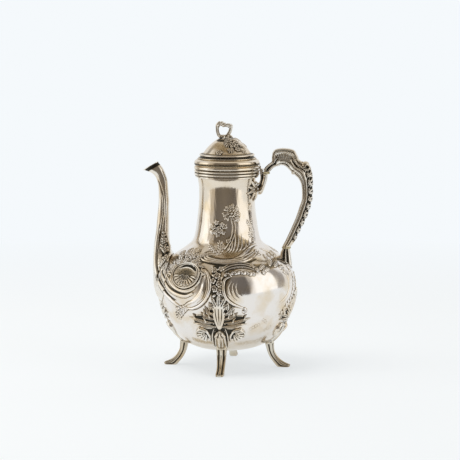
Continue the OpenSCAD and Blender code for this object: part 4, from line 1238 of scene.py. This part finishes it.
PEG = 5.0                # how far an insulator's peg goes up into the silver
RING_HALF = 0.98         # half height of the insulators' visible rings
GRIP_X = 41.8            # GRIP gives its places from here
GRIP_TOP = 207.0
GRIP = [[-2.4, 0, 2.6, 0, 0.55], [-1.2, 4, 5.6, 3.8, 0.62], [2.5, 7.8, 9.7, 6.5, 0.75],
        [6.2, 11, 12.6, 7.2, 0.85], [6.6, 17.5, 15.2, 7.8, 0.95], [9, 23.2, 17.6, 7.6, 1],
        [17.7, 24.9, 19.4, 7, 1], [28, 23.4, 21.8, 5.2, 1],
        [31.4, 18.6, 24.8, 2.2, 0.95], [35, 12.8, 27.6, -0.4, 0.95], [43, 9.3, 30.8, -3.4, 1],
        [46.8, 4.6, 33.8, -6.3, 1], [48.6, -4.8, 37, -12.4, 1], [49, -17, 38, -21, 0.98],
        [48.5, -27, 37.7, -28.4, 0.95], [46, -37, 35.2, -35.8, 0.92], [41.6, -48.4, 31.7, -46, 0.9],
        [36.8, -58, 27.7, -55.5, 0.87], [32.1, -67.5, 23.8, -64, 0.85], [28, -73.6, 20, -72, 0.83],
        [25.4, -76.4, 17.1, -76.4, 0.81]]
GRIP_HALF = 5.2          # half width where it is widest


def grip_relief(line, steps):
    """Ornament of the grip, with patina and painted shade.

    Across runs from its outer edge at -1 to its inner edge at 1. Along it, a place is given by its station,
    which is the number of its row in GRIP and may lie between two rows.
    """
    middle = (line[:, 0:2] + line[:, 2:4]) / 2
    half = np.linalg.norm(line[:, 0:2] - line[:, 2:4], axis=1) / 2
    run = run_along(middle)
    r = Relief((-1, 1), (0, run[-1]), (int(90 * FINE), int(900 * FINE)),
               lambda place: float(np.interp(place, run, half)))

    def at(station, across):
        return (across, float(np.interp(station * steps, np.arange(len(run)), run)))

    def along(across, first, last, count=6):
        return [at(k, across) for k in np.linspace(first, last, count)]

    r.ridge(along(-0.88, 0, 4.6), 1.0, 0.8)
    r.ridge(along(0.85, 0, 4.6), 1.0, 0.8)
    r.groove(along(0, 0.2, 4.2), 1.5, 1.5, (0.6, 1, 1, 0.5))
    r.ridge(along(-0.9, 4.4, 8.4, 10), 1.1, 1.0)
    for k in np.linspace(4.9, 7.4, 9):
        r.dot(at(k, -0.62), 1.15, 0.9, 0.5)
    r.groove(along(-0.25, 4.8, 7.5, 8), 2.6, 0.6, (0.7, 1, 0.7))
    for k in np.linspace(5.0, 7.2, 7):
        r.groove([at(k, -0.42), at(k - 0.1, 0.1)], 0.5, 1.0)
        r.dot(at(k + 0.12, 0.55), 1.3, 1.1, 0.5)
    r.ridge(along(0.88, 4.6, 8.6, 8), 1.0, 0.7)
    r.ridge(along(-0.85, 8, 10, 4), 1.0, 0.6)
    r.ridge(along(0.1, 7.2, 19.5, 18), 0.8, 1.0)
    r.ridge(along(-0.4, 7.4, 9.7, 6), 1.0, 1.2, (0.5, 1, 1, 0.6))
    r.groove(along(-0.12, 7.2, 9.7, 6), 0.8, 1.0, (0.5, 1, 1, 0.6))
    r.groove(along(-0.68, 7.6, 9.5, 6), 0.8, 0.9, (0.5, 1, 1, 0.6))
    r.ridge(along(0.85, 8.6, 20, 16), 0.9, 0.8)
    r.groove(along(0.62, 9.5, 19.6, 16), 0.45, 0.4, (0.6, 1, 1))
    r.dot(at(9.9, -0.9), 3.0, 1.9)
    r.curl(at(9.8, -0.55), 2.3, 0, 300, 0.8, 1.6)
    r.dot(at(9.1, 0.95), 2.6, 1.9)
    r.groove(along(-0.15, 9.8, 19.4, 16), 0.6, 1.2)
    for first in np.arange(10.4, 18.4, 0.8):
        lobe(r, [at(first, -0.3), at(first + 0.45, -0.55), at(first + 0.5, -0.98)], 1.25, 1.6)
        r.dot(at(first + 0.02, -0.75), 1.7, 1.5, 0.5, r.down)
        r.dot(at(first + 0.66, -0.35), 1.2, 1.2, 0.5, r.down)
    # painted shade between the acanthus lobes, in the grooves and along the edges
    r.shade(along(-0.6, 10.4, 18.4, 16), 3.8, 1.0, (0.8, 1, 1, 0.9, 0.6))
    r.shade(along(-0.2, 4.7, 7.6, 8), 2.0, 0.15)
    r.shade(along(-0.76, 4.9, 7.4, 8), 0.7, 0.4)
    r.shade(along(0, 0.2, 4.6), 2.0, 1.0)
    r.shade(along(-1, 0, 4.8), 0.9, 0.8)
    r.shade(along(0.97, 0.2, 20, 20), 0.6, 0.8)
    r.shade(along(0.42, 9, 19.6, 16), 0.5, 0.25)
    return r


def grip():
    """The handle's grip: a fluted cap, an acanthus band outside and plain mouldings inside."""
    low = corners("lower_insulator")[1][2] - PEG
    line = np.array(GRIP)
    drop = line[:, [1, 3]]
    line[:, [1, 3]] = GRIP_TOP + drop * np.where(drop > 0, 1, (low - GRIP_TOP) / GRIP[-1][1])
    line[:, [0, 2]] += GRIP_X
    line[:, 4] *= GRIP_HALF
    steps = int(30 * FINE)
    line = smooth(line, steps)
    grid, across, _ = section_grid(line, int(200 * FINE), 2.6)
    relief = grip_relief(line, steps)
    run = run_along((line[:, 0:2] + line[:, 2:4]) / 2)[:, None]
    rise = relief.at(across[None, :], run)
    dark = relief.at(across[None, :], run, relief.dark)
    ends = ease(run, 0, 2) * ease(run[-1] - run, 0, 2)
    add_tubes("grip", [lifted(grid, rise * ends)], [dark], "pot", CAST, ["handle_grip"])


def upper_socket():
    """Square-sided arm from the neck up to the insulator, with a hollow down each side."""
    top = corners("upper_socket")[1][2]
    line = smooth([[33.4, top - 9.5, 33.4, top - 22, 4], [34.6, top - 8, 37, top - 21, 4.4],
                   [35.4, top - 5, 39.8, top - 14.8, 4.4], [35.4, top - 2, 42.7, top - 6, 4.3],
                   [35.4, top, 43.3, top, 4.3]], int(24 * FINE))
    grid, u, v = section_grid(line, int(120 * FINE), 3.0)
    side = furrow(u, [(-0.35, 0.4, -1.2), (0.45, 0.3, 0.8)]) * (np.abs(v) > 0.55)
    row = np.arange(len(line))[:, None]
    ends = ease(row, 0, 6) * ease(len(line) - 1 - row, 0, 5)
    # painted shade down the hollow on each side
    dark = ends * ease(-np.abs(u + 0.37), -0.55, -0.4) * ease(np.abs(v), 0.4, 0.7)
    add_tubes("upper_arm", [lifted(grid, ends * side)], [dark], "pot", CAST, ["upper_socket"])


def lower_socket():
    """Foot of the handle on the shoulder, with mouldings that run up to the insulator."""
    low, high = corners("lower_insulator")
    x = (low[0] + high[0]) / 2
    top = corners("lower_socket")[1][2]
    line = smooth([[x - 7, top - 14, x + 6.4, top - 20, 6.4], [x - 6.2, top - 7, x + 5, top - 10, 5.4],
                   [x - 4.6, top - 3.4, x + 4, top - 4, 4.6], [x - 4.2, top, x + 4.2, top, 4.2]],
                  int(30 * FINE))
    grid, u, v = section_grid(line, int(140 * FINE), 2.4)
    side = furrow(u, [(-0.3, 0.28, -1.0), (0.35, 0.28, -1.0), (0.02, 0.14, 0.5)]) * (np.abs(v) > 0.3)
    ends = ease(len(line) - 1 - np.arange(len(line)), 0, 5)[:, None]
    grid = lifted(grid, ends * side)
    shoulder = BODY.line[BODY.run > 112]
    skin = np.interp(-np.hypot(grid[..., 0], grid[..., 1]), -shoulder[:, 0], shoulder[:, 1])
    grid[..., 2] = np.maximum(grid[..., 2], skin + 0.5)
    # painted shade in the grooves up the sides
    dark = 0.8 * ends * ease(side, -0.1, -0.7)
    add_tubes("lower_foot", [grid], [dark], "pot", CAST, ["lower_socket"])


def insulators():
    """Ivory-coloured rings that keep the handle cool, slightly swollen between the silver parts."""
    turn = np.linspace(0, 2 * np.pi, int(96 * FINE), endpoint=False)
    level = np.linspace(-1, 1, 25)[:, None]
    swell = (0.9 + 0.1 * np.sqrt(1 - level**2)) * (1 - 0.02 * np.cos(40 * level))
    for name, radius in [("upper", 3.7), ("lower", 4.7)]:
        low, high = corners(name + "_insulator")
        x = (low[0] + high[0]) / 2
        top = GRIP_TOP if name == "upper" else high[2] - PEG
        ring = (x + radius * swell * np.cos(turn), radius * swell * np.sin(turn), top - 1 + level * RING_HALF)
        grid = np.stack(np.broadcast_arrays(*ring), -1)
        add_tubes(name + "_ring", [grid], [0.0], "pot", IVORY, [name + "_insulator"])


grip()
upper_socket()
lower_socket()
insulators()

# ---------------------------------------------------------------- legs

LEG = [[50.3, 26, 40.9, 24, 1], [50.1, 23, 41.7, 21.6, 0.92], [50.7, 17, 43.4, 15.6, 0.84],
       [53.6, 11.4, 46, 10, 0.77], [57.4, 7.4, 50, 4.4, 0.73], [61, 5, 54.6, -0.4, 0.75],
       [64.4, 3.5, 60, -0.8, 0.76], [66.6, 2.9, 65.2, -0.5, 0.66], [67.5, 2.1, 67, 0.5, 0.34]]
LEG_HALF = 5.85          # half width at the top of a leg


def leg(name, angle):
    """Cabriole leg: three ridges down its front, a groove along each flank and a split toe."""
    line = smooth(np.array(LEG) * [1, 1, 1, 1, LEG_HALF], int(40 * FINE))
    grid, u, v = section_grid(line, int(180 * FINE), 2.8)
    t = np.linspace(0, 1, len(line))[:, None]
    toe = ease(t, 0.80, 0.92)
    ribs = furrow(v, [(0, 0.2, 0.3), (0.52, 0.38, -0.9), (-0.52, 0.38, -0.9)])
    split = furrow(v, [(0, 0.34, -1.7)])
    flank = furrow(u, [(0.15, 0.3, -0.8)]) * (np.abs(v) > 0.6)
    fade = ease(t, 0.0, 0.08) * (1 - ease(t, 0.96, 1.0))
    rise = fade * ((u < -0.55) * (ribs * (1 - toe) + split * toe) + flank * (1 - toe))
    grid = lifted(grid, rise)
    belly = BODY.line[BODY.run < 60]
    under = np.interp(np.abs(grid[..., 0]), belly[:, 0], belly[:, 1]) - 0.4
    top = np.minimum(grid[..., 2], under)
    top[0] = under[0]
    spin = math.radians(angle)
    x = grid[..., 0] * math.cos(spin) - grid[..., 1] * math.sin(spin)
    y = grid[..., 0] * math.sin(spin) + grid[..., 1] * math.cos(spin)
    placed = np.stack([x, y, np.maximum(top, 0.0)], -1)
    # painted shade in the grooves and in the split of the toe
    dark = 0.6 * ease(rise, -0.1, -0.9) + 0.5 * ease(t, 0.86, 0.9) * (1 - ease(t, 0.95, 0.98))
    add_tubes("cabriole_" + name, [placed], [np.clip(dark, 0, 1)], "pot", LEGS, ["leg_" + name])


for leg_name, leg_angle in [("front", 270), ("back", 90), ("spout_side", 180), ("handle_side", 0)]:
    leg(leg_name, leg_angle)

# ---------------------------------------------------------------- stage and camera, in metres

CAMERA_AZIMUTH = 7.0     # degrees from straight in front towards the handle
CAMERA_AWAY = 2.1
CAMERA_HEIGHT = 0.400
CAMERA_VIEW = 13.1       # degrees
AIM_HEIGHT = 0.145       # the camera looks at this height
AIM_SIDE = 0.0032        # and this far to its right of the axis
BACKDROP = (0.913, 0.947, 0.973, 1)
WHITE = (1, 1, 1, 1)
BLACK = (0, 0, 0, 1)
TABLE_FRONT = 0.55
TABLE_REACH = 4.0        # to both sides and to the back
SHADOW_SHARE = 0.42      # part of the floor's brightness that comes from its lighting, and so shows shade
FLOOR_LIGHT = 0.88       # brightness of an unshaded white floor under this lamp and world


def pale_floor():
    """Plain pale floor that ends in the backdrop's colour, seen by the camera and in the silver alike."""
    material, n, place = blank("pale_floor")
    away = n.new("ShaderNodeVectorMath", Vector=place)
    away.operation = "LENGTH"
    near = n.spread(away.outputs["Value"], 0.45, 1.1, SHADOW_SHARE, 0.0)
    lit = n.new("ShaderNodeBsdfDiffuse", Color=n.mix(near, BLACK, WHITE))
    rest = n.mix(n.math("MULTIPLY", near, FLOOR_LIGHT), BACKDROP, WHITE, "SUBTRACT")
    own = n.new("ShaderNodeEmission", Color=rest, Strength=1.0)
    seen = n.new("ShaderNodeAddShader")
    n.set(seen.inputs[0], lit.outputs["BSDF"])
    n.set(seen.inputs[1], own.outputs["Emission"])
    plain = n.new("ShaderNodeBsdfDiffuse", Color=(0.82, 0.82, 0.81, 1))
    path = n.new("ShaderNodeLightPath")
    direct = n.math("MAXIMUM", path.outputs["Is Camera Ray"], path.outputs["Is Glossy Ray"])
    direct = n.math("MAXIMUM", direct, path.outputs["Is Transmission Ray"])
    both = n.new("ShaderNodeMixShader", Fac=direct)
    n.set(both.inputs[1], plain.outputs["BSDF"])
    n.set(both.inputs[2], seen.outputs["Shader"])
    n.new("ShaderNodeOutputMaterial", Surface=both.outputs["Shader"])
    return material


def stage():
    """The table top. Its front edge shows in the belly as a line."""
    mesh = bpy.data.meshes.new("floor")
    left, right, front, back = -TABLE_REACH, TABLE_REACH, -TABLE_FRONT, TABLE_REACH
    points = [(left, front, 0), (right, front, 0), (right, back, 0), (left, back, 0)]
    mesh.from_pydata(points, [], [(0, 1, 2, 3)])
    floor = bpy.data.objects.new("floor", mesh)
    bpy.context.scene.collection.objects.link(floor)
    mesh.materials.append(pale_floor())


# The studio as the silver sees it: (azimuth, brightness, tint) in steps round the horizon. The azimuth is in
# degrees from +X towards +Y, so the camera is near -90 and the handle's side at 0.
STUDIO = [(-180, 1.30, (1, 0.99, 0.95)), (-158, 1.30, (1, 0.99, 0.95)), (-154, 0.64, (1, 0.92, 0.80)),
          (-136, 0.60, (1, 0.91, 0.79)), (-131, 0.16, (1, 0.88, 0.76)), (-92, 0.21, (1, 0.88, 0.74)),
          (-45, 0.14, (1, 0.90, 0.84)), (-40, 0.75, (1, 0.95, 0.88)), (-33, 1.20, (1, 0.99, 0.96)),
          (10, 1.20, (1, 0.99, 0.96)), (14, 0.36, (1, 0.95, 0.92)), (31, 0.38, (1, 0.95, 0.92)),
          (35, 0.90, (0.98, 0.99, 1)), (140, 0.90, (0.98, 0.99, 1)), (144, 0.40, (1, 0.97, 0.93)),
          (158, 0.40, (1, 0.97, 0.93)), (163, 1.10, (1, 0.99, 0.95)), (180, 1.10, (1, 0.99, 0.95))]


def ramp(n, value, stops):
    """A colour that follows a value through [place, colour] stops."""
    node = n.new("ShaderNodeValToRGB", Fac=value)
    band = node.color_ramp
    while len(band.elements) > 1:
        band.elements.remove(band.elements[-1])
    for k, (place, colour) in enumerate(stops):
        element = band.elements.new(place) if k else band.elements[0]
        element.position = place
        element.color = (*colour, 1)
    return node.outputs["Color"]


def studio_world():
    """Soft studio all round: pale walls, soft boxes and the dark room behind the camera."""
    world = bpy.data.worlds.new("studio")
    bpy.context.scene.world = world
    world.use_nodes = True
    n = Nodes(world.node_tree)
    direction = n.new("ShaderNodeTexCoord").outputs["Generated"]
    parts = n.new("ShaderNodeSeparateXYZ", Vector=direction).outputs
    azimuth = n.spread(n.math("ARCTAN2", parts["Y"], parts["X"]), -math.pi, math.pi)
    walls = ramp(n, azimuth, [((angle + 180) / 360, [bright * part for part in tint])
                              for angle, bright, tint in STUDIO])
    ceiling = n.mix(n.spread(parts["Y"], -0.9, 0.6), (0.26, 0.20, 0.13, 1), (0.80, 0.77, 0.70, 1))
    studio = n.mix(n.spread(parts["Z"], 0.62, 0.78), walls, ceiling)
    seen = n.mix(n.new("ShaderNodeLightPath").outputs["Is Camera Ray"], studio, BACKDROP)
    background = n.new("ShaderNodeBackground", Color=seen, Strength=1.0)
    n.new("ShaderNodeOutputWorld", Surface=background.outputs["Background"])


def look_at(holder, aim):
    """Turns a lamp or camera towards a point."""
    holder.rotation_euler = (aim - holder.location).to_track_quat("-Z", "Y").to_euler()


def top_light():
    """A soft lamp over the table that casts the pot's faint shadow. The silver doesn't mirror it."""
    light = bpy.data.lights.new("top_light", "AREA")
    light.shape = "RECTANGLE"
    light.size, light.size_y = 0.9, 0.9
    light.energy = 9.0
    holder = bpy.data.objects.new("top_light", light)
    bpy.context.scene.collection.objects.link(holder)
    holder.location = (-0.5, -0.3, 1.6)
    holder.visible_glossy = False
    look_at(holder, Vector((0, 0, 0.1)))


def camera():
    """The camera at the photograph's angle."""
    turn = math.radians(CAMERA_AZIMUTH)
    data = bpy.data.cameras.new("camera")
    data.sensor_fit = "HORIZONTAL"
    data.angle = math.radians(CAMERA_VIEW)
    data.clip_start, data.clip_end = 0.05, 50
    holder = bpy.data.objects.new("camera", data)
    bpy.context.scene.collection.objects.link(holder)
    holder.location = (CAMERA_AWAY * math.sin(turn), -CAMERA_AWAY * math.cos(turn), CAMERA_HEIGHT)
    look_at(holder, Vector((AIM_SIDE * math.cos(turn), AIM_SIDE * math.sin(turn), AIM_HEIGHT)))
    bpy.context.scene.camera = holder


stage()
studio_world()
top_light()
camera()
bpy.context.scene.view_settings.view_transform = "Standard"

# ---------------------------------------------------------------- finish

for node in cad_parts.values():
    is_ivory = "insulator" in node.name and node.name != "insulator_pins"
    node.data.materials.clear()
    node.data.materials.append(IVORY if is_ivory else CAST)
